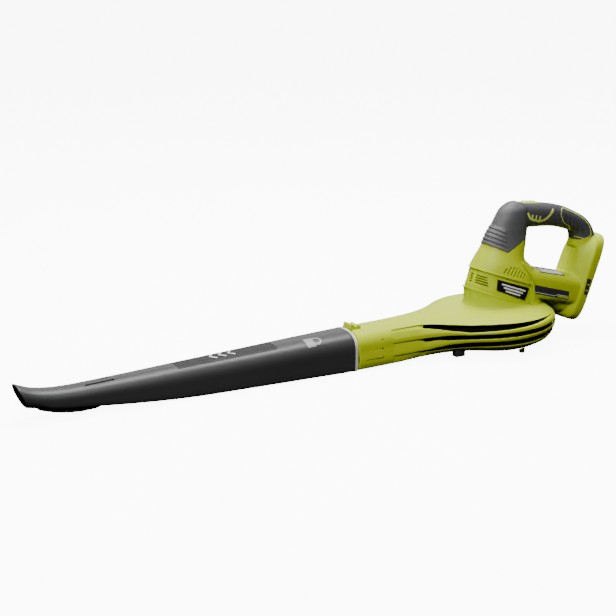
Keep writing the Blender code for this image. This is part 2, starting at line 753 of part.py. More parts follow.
def make_button():
    half_x, half_y = BUTTON_LENGTH / 2, BUTTON_WIDTH / 2
    skin_z = WELL_FLOOR + 17.0
    button = box((BUTTON_X - half_x, -half_y, skin_z - 10.0), (BUTTON_X + half_x, half_y, skin_z))
    union(button, box((BUTTON_X - half_x, -half_y, skin_z - 1.0), (BUTTON_X - 1.5, half_y, skin_z + 4.0)))
    bead_x, bead_z = BUTTON_X + 4.0, skin_z - 0.5
    union(button, rod((bead_x, -half_y, bead_z), (bead_x, half_y, bead_z), 2.6, 12))
    cut(button, box((BUTTON_X - 5, -5, WELL_FLOOR), (BUTTON_X + 5, 5, WELL_FLOOR + 12.0)))
    finish(button, "release_button", "lime", smooth=False)
    turns, per_turn = 4, 8
    points = []
    for i in range(turns * per_turn + 1):
        angle = 2 * math.pi * i / per_turn
        points.append((BUTTON_X + 3.4 * math.cos(angle), 3.4 * math.sin(angle),
                       WELL_FLOOR + 0.9 + 10.2 * i / (turns * per_turn)))
    finish(tube(points, 0.45, 1), "release_spring", "steel")


def make_switch():
    reach = SLIDER_LENGTH / 2
    slider = slider_block(reach, -reach, -3.1, 0.6, SLIDER_WIDTH / 2)
    for index in range(4):
        at = -9.0 + 6.0 * index
        union(slider, slider_block(at + 1.6, at - 1.6, 0.0, 2.4, SLIDER_WIDTH / 2 - 1.0))
    union(slider, slider_block(3, -3, -9.0, -2.0, 3.0))
    finish(slider, "switch_slider", "pale_lime", smooth=False)
    finish(box((54, -8, 178), (86, 8, 195)), "switch_body", "black_plastic", smooth=False)


def make_feet():
    for side, word in ((-1, "left"), (1, "right")):
        x, y = PAD_PLACE[0], side * PAD_PLACE[1]
        pad = box((x - PAD_HALF[0], y - PAD_HALF[1], 0.0), (x + PAD_HALF[0], y + PAD_HALF[1], FOOT_REACH))
        cut(pad, case_solid(-GAP, NECK_FRONT))
        finish(pad, f"foot_front_{word}", "rubber", smooth=False)
        x, y = PEG_PLACE[0], side * PEG_PLACE[1]
        peg = rod((x, y, 0.0), (x, y, FOOT_REACH), PEG_RADIUS, 20)
        cut(peg, case_solid(-GAP, NECK_FRONT))
        finish(peg, f"foot_rear_{word}", "lime")


def make_screws():
    for number, (x, z, seat) in enumerate(SCREWS, 1):
        screw = rod((x, seat + 0.3, z), (x, seat + 2.7, z), 3.3, 16)
        union(screw, rod((x, -11, z), (x, seat + 1.5, z), 1.6, 10))
        cut(screw, rod((x, seat + 1.4, z), (x, seat + 5, z), 1.3, 6))
        finish(screw, f"housing_screw_{number}", "zinc")


# ---- fan, motor and electrics ----------------------------------------------

def make_scroll():
    wall = case_solid(7.6, NECK_FRONT)
    cut(wall, case_solid(9.4, NECK_FRONT - 5))
    keep_inside(wall, box((-160, -100, 10.0), (120, 100, 45.2)))
    cut(wall, rod((0, 0, 5), (0, 0, 14.6), SCROLL_EYE, 60))
    cut(wall, box((-200, -20, 0), (-120, 20, 60)))
    finish(wall, "volute_wall", "black_plastic")
    plate = turned(((8, 49.6), (76, 49.6), (76, 47.6), (8, 47.6)), 30)
    for side in (-1, 1):
        cut(plate, rod((side * 14, 0, 40), (side * 14, 0, 60), 1.9, 12))
    finish(plate, "fan_plate", "black_plastic")


def make_grille():
    grille = turned(((6, 6.0), (49.8, 6.0), (49.8, 3.4), (6, 3.4)), 36)
    hub = turned(((0, 6.6), (8, 6.6), (8, 3.4), (0, 3.4)), 20, open_profile=True)
    union(grille, hub)
    for low, high in ((12, 26), (30, 44)):
        for sector in range(6):
            first = 2 * math.pi * (sector + 0.07) / 6
            last = 2 * math.pi * (sector + 0.93) / 6
            rings = []
            for step in range(3):
                angle = first + (last - first) * step / 2
                way = Vector((math.cos(angle), math.sin(angle), 0))
                rings.append([way * low, way * high, way * high + Vector((0, 0, 12)),
                              way * low + Vector((0, 0, 12))])
            cut(grille, loft(rings))
    finish(grille, "intake_grille", "black_plastic")


def make_fan():
    bore = SHAFT_RADIUS + GAP
    fan = turned(((bore, 42.2), (FAN_RADIUS, 42.2), (FAN_RADIUS, 40.2), (11, 40.2), (8.5, 36), (8.5, 22.5),
                  (bore, 22.5)), 40)
    for index in range(BLADE_COUNT):
        rings = []
        for step in range(4):
            t = step / 3
            angle = 2 * math.pi * index / BLADE_COUNT - 0.75 * t
            radius = 20 + (FAN_RADIUS - 21) * t
            way = Vector((math.cos(angle), math.sin(angle), 0))
            side = Vector((-math.sin(angle - 0.5), math.cos(angle - 0.5), 0)) * 0.8
            low = 15.0 + 5.0 * t
            centre = way * radius
            rings.append([centre - side + Vector((0, 0, low)), centre + side + Vector((0, 0, low)),
                          centre + side + Vector((0, 0, 41.2)), centre - side + Vector((0, 0, 41.2))])
        union(fan, loft(rings))
    finish(fan, "impeller", "black_plastic")
    finish(turned(((2.95, 22.2), (5.4, 22.2), (5.4, 18.2), (2.95, 18.2)), 6), "impeller_nut", "zinc",
           smooth=False)
    outline = ((0, 117.4), (2.2, 117.4), (SHAFT_RADIUS, 117.0), (SHAFT_RADIUS, 17.0), (2.0, 16.4), (0, 16.4))
    finish(turned(outline, 20, open_profile=True), "motor_shaft", "steel")


def make_motor():
    can = turned(((20.6, CAN_TOP), (CAN_RADIUS, CAN_TOP), (CAN_RADIUS, CAN_BOTTOM), (5.9, CAN_BOTTOM),
                  (5.9, 55.2), (8.2, 55.2), (8.2, 51.8), (20.6, 51.8)), 28)
    for side in (-1, 1):
        cut(can, rod((side * 14, 0, 40), (side * 14, 0, 54), 1.9, 12))
    finish(can, "motor_can", "steel")
    cap = ((5.9, 117), (14, 117), (21.4, 113), (21.4, 108.4), (19.6, 108.4), (13, 112.2), (5.9, 112.2))
    finish(turned(cap, 32), "motor_end_cap", "black_plastic")
    bore = SHAFT_RADIUS + GAP
    finish(turned(((bore, 94), (16.4, 94), (16.4, 64), (bore, 64)), 28), "armature_core", "ferrite")
    finish(turned(((bore, 99.5), (12.5, 99.5), (15.2, 94.3), (bore, 94.3)), 24), "winding_upper", "copper")
    finish(turned(((bore, 63.7), (15.2, 63.7), (12.5, 58.5), (bore, 58.5)), 24), "winding_lower", "copper")
    finish(turned(((bore, 111.4), (6.4, 111.4), (6.4, 100.4), (bore, 100.4)), 24), "commutator", "copper")
    finish(turned(((bore, 54.8), (5.6, 54.8), (5.6, 50.6), (bore, 50.6)), 20), "bearing_lower", "steel")
    finish(turned(((bore, 116.6), (5.6, 116.6), (5.6, 112.4), (bore, 112.4)), 20), "bearing_upper", "steel")
    for side, word in ((-1, "left"), (1, "right")):
        magnet = turned(((17.4, 97), (20.2, 97), (20.2, 61), (17.4, 61)), 32)
        keep_inside(magnet, box((-15.5, min(0, side * 30), 50), (15.5, max(0, side * 30), 110)))
        finish(magnet, f"magnet_{word}", "ferrite")
        brush = box((-2.4, min(side * 6.8, side * 15.5), 102.5), (2.4, max(side * 6.8, side * 15.5), 107.5))
        finish(brush, f"brush_{word}", "carbon", smooth=False)
        screw = rod((side * 14, 0, 44.6), (side * 14, 0, 47.3), 2.9, 14)
        union(screw, rod((side * 14, 0, 46), (side * 14, 0, 53.5), 1.5, 10))
        finish(screw, f"motor_screw_{word}", "zinc")


def make_terminals():
    block = loft([arch_ring(x, 30.0, low, high, 20, 3.4, 6.0) for x, low, high in TERMINAL_BLOCK])
    finish(block, "terminal_block", "black_plastic")
    for number, y in enumerate((-9.0, 0.0, 9.0), 1):
        blade = box((84.3, y - 0.6, 79), (100, y + 0.6, 87), FOOT_TILT, (84.3, 0, 83))
        cut(blade, box((60, -30, 40), (84.6, 30, 120)))
        finish(blade, f"contact_blade_{number}", "brass", smooth=False)


def make_wires():
    feed = ((73.4, -7, 92), (66, -9, 96), (52, -9, 108), (40, -8, 124), (32, -7, 146), (34, -6, 168),
            (44, -4, 182), (53.4, -4, 186))
    live = ((10, -10, 118.4), (12, -11, 124), (17, -10, 134), (22, -4, 150), (28, 0, 170), (40, 1, 178),
            (53.4, 1, 181))
    back = ((10, 10, 118.4), (16, 11, 123), (30, 11, 121), (48, 10, 112), (62, 9, 99), (73.4, 8, 92))
    for name, route, colour in (("wire_feed", feed, "red_wire"), ("wire_motor_live", live, "red_wire"),
                                ("wire_motor_return", back, "black_wire")):
        finish(tube(smooth_route(route, 2), 1.1), name, colour)


make_housing()
make_grips()
make_plates()
make_nozzle()
make_button()
make_switch()
make_feet()
make_screws()
make_scroll()
make_grille()
make_fan()
make_motor()
make_terminals()
make_wires()
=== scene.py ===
"""Looks of the cordless leaf blower: fine shells, covers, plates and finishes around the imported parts.

Lengths are millimetres measured from the fan axis, with z = 0 on the floor; to_world moves them into the
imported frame. +X is the rear and -Y the left side. Angles named theta run round the fan case from the neck.
"""
import json
import math

import bmesh
import bpy
import numpy as np
from mathutils import Matrix, Vector


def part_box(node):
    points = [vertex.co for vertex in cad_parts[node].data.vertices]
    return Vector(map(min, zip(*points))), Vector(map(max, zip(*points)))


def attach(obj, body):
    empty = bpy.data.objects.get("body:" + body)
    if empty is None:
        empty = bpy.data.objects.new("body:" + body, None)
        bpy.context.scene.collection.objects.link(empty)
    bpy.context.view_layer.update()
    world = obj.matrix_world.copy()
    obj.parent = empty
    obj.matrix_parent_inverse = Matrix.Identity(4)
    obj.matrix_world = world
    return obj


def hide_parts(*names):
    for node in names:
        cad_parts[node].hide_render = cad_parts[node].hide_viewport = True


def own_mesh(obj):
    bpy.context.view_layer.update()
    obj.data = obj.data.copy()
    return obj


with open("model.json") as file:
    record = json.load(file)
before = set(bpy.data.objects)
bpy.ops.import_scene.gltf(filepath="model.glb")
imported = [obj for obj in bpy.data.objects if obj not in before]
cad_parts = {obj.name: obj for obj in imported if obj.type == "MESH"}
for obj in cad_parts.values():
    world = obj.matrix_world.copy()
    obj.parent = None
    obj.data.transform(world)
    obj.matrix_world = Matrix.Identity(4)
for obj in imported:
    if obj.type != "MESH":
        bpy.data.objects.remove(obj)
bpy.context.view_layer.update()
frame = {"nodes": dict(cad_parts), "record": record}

MM = 0.001
SHAFT_LOW, SHAFT_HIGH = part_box("motor_shaft")
FAN_X = (SHAFT_LOW.x + SHAFT_HIGH.x) / 2 / MM
FAR = 400.0
SPLIT_GAP = 0.15
SHELL_VOXEL = 1.25
COVER_VOXEL = 0.8

# Fan case: radius, and the levels of its outline from the bottom flat to the top flat (inset, height).
CASE_RADIUS = 97.8
CASE_LEVELS = (
    (50.0, 3.5), (36.0, 3.5), (21.0, 9.5), (7.6, 18.5), (1.9, 29.5), (0.0, 43.0), (1.5, 48.0),
    (7.0, 52.6), (20.0, 57.2), (37.0, 60.0), (49.0, 61.0),
)
# Neck: the angles of its section that meet the levels above, its ends in x, half width and height.
NECK_ANGLES = (-84, -68, -47, -22, 0, 18, 34, 48, 62, 73, 83)
NECK_FRONT = -250.0
NECK_STRAIGHT_END = -185.0
NECK_HALF = 34.0
NECK_HEIGHT = 55.6
CASE_MIDDLE = 32.2
NECK_JOIN_ANGLE = 128.0
TOP_POWER = 2.6
BOTTOM_POWER = 14.0
# Wall thicknesses, and the hole and ledge under the fan.
WALL = 2.6
TOWER_WALL = 3.4
GRIP_WALL = 4.6
RECEIVER_WALL = 2.8
INTAKE_RADIUS = 50.3
LEDGE_TOP = 10.8

# Louvres in the case's side: theta, low and high edge of the slit, and the height of the slope below it.
LOUVRES = (
    ((9.8, 49.0, 51.0, 9.8), (14, 49.0, 53.0, 9.0), (18, 47.0, 52.6, 5.5), (25, 43.2, 51.0, 2.6),
     (39, 40.0, 50.0, 1.5), (64, 43.8, 51.9, 1.0), (91, 46.9, 52.2, 0.8), (115, 49.2, 52.0, 0.5),
     (134, 50.6, 51.4, 0.3)),
    ((9.8, 31.8, 33.6, 11.6), (16, 31.0, 35.2, 9.0), (25, 28.8, 36.8, 3.4), (39, 29.2, 36.6, 1.6),
     (64, 32.0, 39.7, 0.9), (91, 34.1, 42.1, 0.8), (115, 35.8, 43.0, 0.8), (140, 38.8, 43.4, 0.5),
     (160, 41.6, 42.6, 0.3)),
    ((9.8, 13.0, 15.0, 7.0), (16, 13.4, 17.4, 4.5), (25, 14.0, 22.4, 2.2), (39, 15.0, 24.7, 1.5),
     (64, 18.6, 27.7, 0.9), (91, 20.2, 29.7, 0.8), (115, 22.4, 31.4, 0.8), (142, 26.8, 32.4, 0.5),
     (160, 30.6, 31.6, 0.3)),
)
LOUVRE_DEPTHS = ((9, 1.6), (14, 2.0), (17, 6.0), (26, 10.5), (180, 10.5))

# Motor turret and front post: height, front x, rear x, half width.
TOWER = (
    (50, -38, 80, 45), (76, -40, 79.5, 44.3), (90, -41.5, 78, 42.5), (103, -38.5, 75, 39.8),
    (116, -34, 64, 36.3), (124, -30, 55, 33.5), (134, -24.5, 53.8, 29.8), (148, -16, 57.2, 25.4),
    (164, -9.5, 59.5, 22), (178, 0, 62, 20.5), (192, 8, 64, 19.2), (204, 17, 62, 16),
    (211.2, 29, 50, 9),
)
TOWER_POWER = 2.15
DOME_TOP = 61.0
FLARE = 3.0
# Grip: outer point (x, z), inner point (x, z), half width.
GRIP = (
    (29, 210.6, 36, 172, 16.5), (57.8, 209.5, 60, 170.4, 17.5), (84, 206, 80, 169.4, 17.5),
    (110, 201.5, 100, 168, 17.5), (132, 195, 118, 164.6, 17.5), (152.5, 185.4, 133.5, 160, 18),
    (169.5, 175.6, 143.5, 156, 18.5), (180.5, 163.8, 148.5, 151, 19), (186, 150.6, 150.2, 143, 20),
    (182, 139, 149, 131, 20),
)
GRIP_POWER = 2.35
# Battery receiver: x, bottom z, top z.
RECEIVER = ((36, 73.5, 117), (72, 63.5, 108.4), (110, 52.5, 99), (150, 41, 89))
RECEIVER_HALF = 34.0

# Battery foot in its own tilted frame: depth in front of the mouth, lowest u, highest u, half width.
FOOT_TILT = math.radians(20.9)
MOUTH_CENTRE = np.array((168.8, 0.0, 86.6))
FOOT_OUT = np.array((math.cos(FOOT_TILT), 0, -math.sin(FOOT_TILT)))
FOOT_UP = np.array((math.sin(FOOT_TILT), 0, math.cos(FOOT_TILT)))
FOOT = ((0, -72, 66, 36), (1.5, -73, 67, 37), (14.5, -73, 60, 37), (16.5, -73, 56, 35), (25, -70, 46, 27),
        (31, -62, 38, 18.5))
RECESS = ((-6, -64, 58, 32), (2, -64, 58, 32), (13, -64, 50, 32))
FOOT_HOLLOW = ((15, -62, 47, 31), (17, -61.5, 45, 30), (25, -57, 36, 22), (27, -55, 34, 17))
TUNNEL = ((12, -46, -6, 27), (16, -46, -6, 27))
HOOK_HOLLOW = ((14, -62, -37, 22), (34, -60, -35, 21), (44, -56, -38, 18))
HOOK = ((8, -70, -30, 27), (34, -67, -28, 26), (44, -62, -30, 23), (50, -55, -36, 17))

# Nozzle: x, bottom z, top z, half width, power of the top curve.
NOZZLE = (
    (-257, 0.6, 56.2, 34.6, 2.6), (-262, 0.5, 56, 34.6, 2.6), (-330, 0.3, 53.2, 32.8, 2.6),
    (-423, 0.3, 49, 30.2, 2.5), (-515, 0.8, 45, 27.2, 2.4), (-600, 5.2, 41, 23.8, 2.3),
    (-644, 8.6, 39.3, 21.8, 2.2), (-680, 10.4, 38.6, 20.4, 2.1), (-706, 12.6, 40, 19.4, 2.05),
    (-726, 15.6, 44, 18.8, 2.0), (-745, 18.5, 52.5, 18.4, 2.0),
)
NOZZLE_WALL = 2.2
MOUTH_LEAN = 7.0
SKID = ((-640, 6.4, 16), (-660, 4.8, 15.5), (-690, 6.6, 14), (-709, 10.6, 13), (-722, 14.4, 11.5))
SPIGOT_FRONT = -292.0

# The recessed band round the turret: fall per millimetre towards the rear, and its edges at the fan axis.
BAND_SLOPE = 0.34
BAND_TOP = 107.0
BAND_BOTTOM = 76.0
# Housing screws: x, z and the seat's distance from the split plane.
SCREWS = ((-28, 68, 14), (43, 67, 30), (-9, 131, 15), (18, 187, 9), (122, 181, 9), (164, 157, 10),
          (109, 44, 14), (-203, 45.5, 14))
# Latch button in its well on the neck, and the thumb slider on the grip.
BUTTON_X = -243.0
BUTTON_HALF = (9.0, 10.0)
WELL_FLOOR = 43.0
GRIP_SLOPE = math.radians(5.0)
SLIDER_CENTRE = np.array((66.0, 0.0, 207.4))
SLIDER_FORWARDS = np.array((-math.cos(GRIP_SLOPE), 0, math.sin(GRIP_SLOPE)))
SLIDER_UP = np.array((math.sin(GRIP_SLOPE), 0, math.cos(GRIP_SLOPE)))
SLIDER_HALF = (14.0, 7.5)
SLIDER_TRAVEL = 6.0

# How far the cutters run past the body's side, and the depths of covers, labels and plates.
PAST_SIDE = 60.0
COVER_DEPTH = 1.8
COVER_SEAT = 2.1
LABEL_DEPTH = 0.6
LABEL_SEAT = 0.9
PRINT_RISE = 0.12
PRINT_DEPTH = 0.3

# Slots in the band and vents above it, screws, and the ribs on the front post.
SLOT_START = 10.0
SLOT_PITCH = 3.8
SLOT_HEIGHT = 2.1
VENT_LENGTHS = (9.0, 13.0, 14.0, 14.0, 12.0, 10.0, 8.0)
VENT_START = -2.0
VENT_PITCH = 5.4
VENT_HALF = 1.35
VENT_RISE = 5.5
VENT_TILT = math.radians(42.0)
SCREW_BORE = 1.9
SCREW_HEAD = 3.3
SCREW_SINK = 3.8
SCREW_POST = 4.6
RIB_COUNT = 5
RIB_RISE = 1.5

# Sky strength at the horizon and overhead, the floor's own light, and the drift in a finish's roughness.
SKY_LOW, SKY_HIGH = 0.22, 0.62
FLOOR_GLOW = 9.0
ROUGHNESS_DRIFT = 0.06


# ---- camera, light and floor -----------------------------------------------

def make_camera():
    """A long lens from the front left, looking down by 15 degrees."""
    data = bpy.data.cameras.new("camera")
    data.lens = 97.4
    data.sensor_width = 36.0
    data.clip_end = 20.0
    camera = bpy.data.objects.new("camera", data)
    camera.location = to_world((-1443.6, -1954.5, 699.5))
    camera.rotation_euler = (math.radians(90 - 15), 0, math.radians(-30))
    bpy.context.scene.collection.objects.link(camera)
    bpy.context.scene.camera = camera


def area_light(name, place, target, size, power):
    data = bpy.data.lights.new(name, "AREA")
    data.shape = "RECTANGLE"
    data.size, data.size_y = size
    data.energy = power
    lamp = bpy.data.objects.new(name, data)
    lamp.location = place
    lamp.rotation_euler = (Vector(target) - Vector(place)).to_track_quat("-Z", "Y").to_euler()
    bpy.context.scene.collection.objects.link(lamp)


def make_studio():
    """A soft sky, three area lights and a white floor that glows evenly."""
    world = bpy.data.worlds.new("studio")
    world.use_nodes = True
    background = world.node_tree.nodes["Background"]
    tree = world.node_tree
    way = node(tree, "ShaderNodeTexCoord")
    parts = node(tree, "ShaderNodeSeparateXYZ")
    tree.links.new(way.outputs["Generated"], parts.inputs["Vector"])
    fade = node(tree, "ShaderNodeMapRange")
    for key, value in (("From Min", -0.15), ("From Max", 0.25), ("To Min", SKY_LOW), ("To Max", SKY_HIGH)):
        fade.inputs[key].default_value = value
    tree.links.new(parts.outputs["Z"], fade.inputs["Value"])
    tree.links.new(fade.outputs["Result"], background.inputs["Strength"])
    bpy.context.scene.world = world
    area_light("key", (-0.9, -1.3, 1.9), (0.1, 0, 0.05), (1.4, 0.9), 60)
    area_light("top", (0.2, 0.4, 1.8), (0.1, 0, 0.05), (1.8, 0.7), 72)
    area_light("back", (0.95, 1.75, 0.85), (0.0, 0.0, 0.1), (3.2, 1.0), 16)
    mesh = bpy.data.meshes.new("floor")
    reach = 8.0
    mesh.from_pydata([(-reach, -reach, 0), (reach, -reach, 0), (reach, reach, 0), (-reach, reach, 0)], [],
                     [(0, 1, 2, 3)])
    floor = bpy.data.objects.new("floor", mesh)
    bpy.context.scene.collection.objects.link(floor)
    pale = plastic("floor", (0.90, 0.90, 0.90), 0.8, grain=0.0, mottle=0.0, edge=0.0, gloss=0.2)
    shader = pale.node_tree.nodes["Principled BSDF"]
    shader.inputs["Emission Color"].default_value = (1.0, 1.0, 1.0, 1.0)
    shader.inputs["Emission Strength"].default_value = FLOOR_GLOW
    floor.data.materials.append(pale)
    floor.visible_diffuse = False
    floor.visible_glossy = False


# ---- materials -------------------------------------------------------------

def node(tree, kind, **values):
    """A shader node whose settings or inputs take the given values."""
    made = tree.nodes.new(kind)
    for key, value in values.items():
        if hasattr(made, key):
            setattr(made, key, value)
        else:
            made.inputs[key].default_value = value
    return made


def plastic(name, colour, roughness, grain=0.02, grain_size=0.7, mottle=0.06, metallic=0.0, edge=0.5,
            gloss=0.5):
    """A moulded finish: fine grain in the bump, slow drift in colour and roughness, eased edges."""
    made = bpy.data.materials.new(name)
    made.use_nodes = True
    made.diffuse_color = (*colour, 1.0)
    tree = made.node_tree
    shader = tree.nodes["Principled BSDF"]
    shader.inputs["Metallic"].default_value = metallic
    shader.inputs["Specular IOR Level"].default_value = gloss
    place = node(tree, "ShaderNodeTexCoord")
    drift = node(tree, "ShaderNodeTexNoise", Scale=14.0, Detail=3.0)
    tree.links.new(place.outputs["Object"], drift.inputs["Vector"])
    low = [c * (1 - mottle) for c in colour]
    high = [min(c * (1 + mottle), 1.0) for c in colour]
    tint = node(tree, "ShaderNodeMix", data_type="RGBA")
    tint.inputs[6].default_value = (*low, 1.0)
    tint.inputs[7].default_value = (*high, 1.0)
    tree.links.new(drift.outputs["Fac"], tint.inputs[0])
    tree.links.new(tint.outputs[2], shader.inputs["Base Color"])
    scuffs = node(tree, "ShaderNodeTexNoise", Scale=90.0, Detail=5.0)
    tree.links.new(place.outputs["Object"], scuffs.inputs["Vector"])
    rough = node(tree, "ShaderNodeMapRange")
    rough.inputs["To Min"].default_value = max(roughness - ROUGHNESS_DRIFT, 0.02)
    rough.inputs["To Max"].default_value = roughness + ROUGHNESS_DRIFT
    tree.links.new(scuffs.outputs["Fac"], rough.inputs["Value"])
    tree.links.new(rough.outputs["Result"], shader.inputs["Roughness"])
    normal = None
    if edge > 0:
        ease = node(tree, "ShaderNodeBevel", samples=6)
        ease.inputs["Radius"].default_value = edge * MM
        normal = ease.outputs["Normal"]
    if grain > 0:
        pits = node(tree, "ShaderNodeTexNoise", Scale=1.0 / (grain_size * MM), Detail=2.0)
        tree.links.new(place.outputs["Object"], pits.inputs["Vector"])
        bump = node(tree, "ShaderNodeBump", Strength=0.35)
        bump.inputs["Distance"].default_value = grain * MM
        tree.links.new(pits.outputs["Fac"], bump.inputs["Height"])
        if normal:
            tree.links.new(normal, bump.inputs["Normal"])
        normal = bump.outputs["Normal"]
    if normal:
        tree.links.new(normal, shader.inputs["Normal"])
    return made


def make_looks():
    return {
        "lime": plastic("lime", (0.47, 0.57, 0.006), 0.44, grain=0.012, mottle=0.03, gloss=0.22),
        "pale_lime": plastic("pale_lime", (0.60, 0.70, 0.12), 0.45, grain=0.02, mottle=0.04, gloss=0.35),
        "nozzle_black": plastic("nozzle_black", (0.034, 0.034, 0.035), 0.42, grain=0.03, grain_size=0.9,
                                mottle=0.12, gloss=0.45),
        "ring_grey": plastic("ring_grey", (0.62, 0.63, 0.56), 0.45, grain=0.01),
        "post_grey": plastic("post_grey", (0.088, 0.088, 0.092), 0.58, grain=0.06, grain_size=0.5,
                             mottle=0.12),
        "grip_grey": plastic("grip_grey", (0.060, 0.058, 0.064), 0.62, grain=0.08, grain_size=0.5,
                             mottle=0.15),
        "badge_black": plastic("badge_black", (0.006, 0.006, 0.007), 0.22, grain=0.0, mottle=0.2),
        "label_dark": plastic("label_dark", (0.035, 0.030, 0.045), 0.34, grain=0.008, mottle=0.12),
        # shadow_black is painted shade: near-black and matte, it stands in for the deep shade behind the
        # louvres.
        "shadow_black": plastic("shadow_black", (0.003, 0.003, 0.003), 0.8, grain=0.03, mottle=0.2,
                                gloss=0.05),
        "label_white": plastic("label_white", (0.72, 0.72, 0.72), 0.38, grain=0.008, mottle=0.03),
        "label_grey": plastic("label_grey", (0.30, 0.30, 0.31), 0.45, grain=0.01, mottle=0.05),
        "black_plastic": plastic("black_plastic", (0.009, 0.009, 0.010), 0.55, grain=0.03, mottle=0.15,
                                 gloss=0.3),
        "rubber": plastic("rubber", (0.018, 0.018, 0.018), 0.75, grain=0.06, mottle=0.2),
        "steel": plastic("steel", (0.56, 0.56, 0.57), 0.32, grain=0.01, metallic=1.0),
        "zinc": plastic("zinc", (0.48, 0.49, 0.50), 0.38, grain=0.02, metallic=1.0, edge=0.15),
        "copper": plastic("copper", (0.72, 0.32, 0.16), 0.35, grain=0.05, metallic=1.0),
        "brass": plastic("brass", (0.72, 0.55, 0.24), 0.33, grain=0.01, metallic=1.0, edge=0.1),
        "ferrite": plastic("ferrite", (0.05, 0.05, 0.055), 0.65, grain=0.05),
        "carbon": plastic("carbon", (0.03, 0.03, 0.03), 0.75, grain=0.05),
        "red_wire": plastic("red_wire", (0.45, 0.02, 0.02), 0.45, grain=0.0, edge=0.0),
        "black_wire": plastic("black_wire", (0.015, 0.015, 0.015), 0.45, grain=0.0, edge=0.0),
    }


# ---- mesh tools ------------------------------------------------------------

def to_world(points):
    return (np.asarray(points, float) + (FAN_X, 0, 0)) * MM


def link(name, mesh):
    obj = bpy.data.objects.new(name, mesh)
    bpy.context.scene.collection.objects.link(obj)
    return obj


def mesh_object(verts, faces):
    """A mesh object from points in world metres, with its faces turned outwards."""
    mesh = bpy.data.meshes.new("solid")
    mesh.from_pydata(np.asarray(verts).tolist(), [], faces)
    bm = bmesh.new()
    bm.from_mesh(mesh)
    bmesh.ops.recalc_face_normals(bm, faces=bm.faces)
    bm.to_mesh(mesh)
    bm.free()
    return link("solid", mesh)


def bake(obj):
    """Apply the modifiers of a solid."""
    bpy.context.view_layer.update()
    graph = bpy.context.evaluated_depsgraph_get()
    mesh = bpy.data.meshes.new_from_object(obj.evaluated_get(graph))
    old = obj.data
    obj.modifiers.clear()
    obj.data = mesh
    bpy.data.meshes.remove(old)
    return obj


def drop(obj):
    mesh = obj.data
    bpy.data.objects.remove(obj, do_unlink=True)
    bpy.data.meshes.remove(mesh)


def combine(obj, other, operation):
    """Join, cut or intersect a solid with another, which is used up."""
    step = obj.modifiers.new(operation, "BOOLEAN")
    step.operation = operation
    step.solver = "MANIFOLD"
    step.object = other
    bake(obj)
    drop(other)
    return obj


def union(obj, other):
    return combine(obj, other, "UNION")


def cut(obj, other):
    return combine(obj, other, "DIFFERENCE")


def keep_inside(obj, other):
    return combine(obj, other, "INTERSECT")


def copy_of(obj):
    return link(obj.name + "_copy", obj.data.copy())


def remesh(obj, voxel, rounds):
    """Even quads over a solid, with its creases eased into fillets."""
    step = obj.modifiers.new("Remesh", "REMESH")
    step.mode = "VOXEL"
    step.voxel_size = voxel * MM
    ease = obj.modifiers.new("Smooth", "SMOOTH")
    ease.factor = 0.5
    ease.iterations = rounds
    return bake(obj)


def bevelled(obj, width):
    """Rounded edges of a given width, in millimetres."""
    step = obj.modifiers.new("Bevel", "BEVEL")
    step.width = width * MM
    step.segments = 3
    step.limit_method = "ANGLE"
    step.angle_limit = math.radians(30)
    step.use_clamp_overlap = True
    return bake(obj)


def displace(obj, height):
    """Move each point along its normal by height(points, normals), in millimetres."""
    mesh = obj.data
    spots = np.empty(len(mesh.vertices) * 3)
    mesh.vertices.foreach_get("co", spots)
    spots = spots.reshape(-1, 3)
    normals = np.array([v.vector for v in mesh.vertex_normals])
    local = spots / MM - (FAN_X, 0, 0)
    spots += normals * (height(local, normals) * MM)[:, None]
    mesh.vertices.foreach_set("co", spots.ravel())
    mesh.update()
    return obj


def loft(rings, closed=False):
    """A solid through rings of equal point count; closed joins the last ring to the first."""
    rings = np.asarray(rings, float)
    rows, count = rings.shape[:2]
    spans = rows if closed else rows - 1
    faces = []
    for i in range(spans):
        here, there = i * count, (i + 1) % rows * count
        for j in range(count):
            k = (j + 1) % count
            faces.append((here + j, here + k, there + k, there + j))
    if not closed:
        faces.append(tuple(range(count)))
        faces.append(tuple(range((rows - 1) * count, rows * count)))
    return mesh_object(to_world(rings.reshape(-1, 3)), faces)


def prism(outline, axis, low, high):
    """A flat outline of (a, b) points pushed along an axis: Y for outlines in XZ, Z for outlines in XY."""
    if axis == "Y":
        return loft([[(a, level, b) for a, b in outline] for level in (low, high)])
    return loft([[(a, b, level) for a, b in outline] for level in (low, high)])


def ribbon(path, width, axis, low, high, closed=False):
    """A strip of even width along a path of (a, b) points, pushed along an axis like a prism."""
    path = np.asarray(path, float)
    rings = []
    for i, point in enumerate(path):
        before = path[i - 1] if i or closed else point
        after = path[(i + 1) % len(path)] if closed or i + 1 < len(path) else point
        along = (after - before) / np.linalg.norm(after - before)
        side = np.array((-along[1], along[0])) * width / 2
        a, b = point - side, point + side
        if axis == "Y":
            rings.append([(a[0], low, a[1]), (b[0], low, b[1]), (b[0], high, b[1]), (a[0], high, a[1])])
        else:
            rings.append([(a[0], a[1], low), (b[0], b[1], low), (b[0], b[1], high), (a[0], a[1], high)])
    return loft(rings, closed)


def box(low, high, tilt=0.0, pivot=(0, 0, 0)):
    """A block between two corners, turned by tilt about Y through pivot."""
    (x0, y0, z0), (x1, y1, z1) = low, high
    turn = np.array(Matrix.Rotation(tilt, 3, "Y"))
    rings = []
    for z in (z0, z1):
        corners = np.array(((x0, y0, z), (x1, y0, z), (x1, y1, z), (x0, y1, z)), float)
        rings.append((corners - pivot) @ turn.T + pivot)
    return loft(rings)


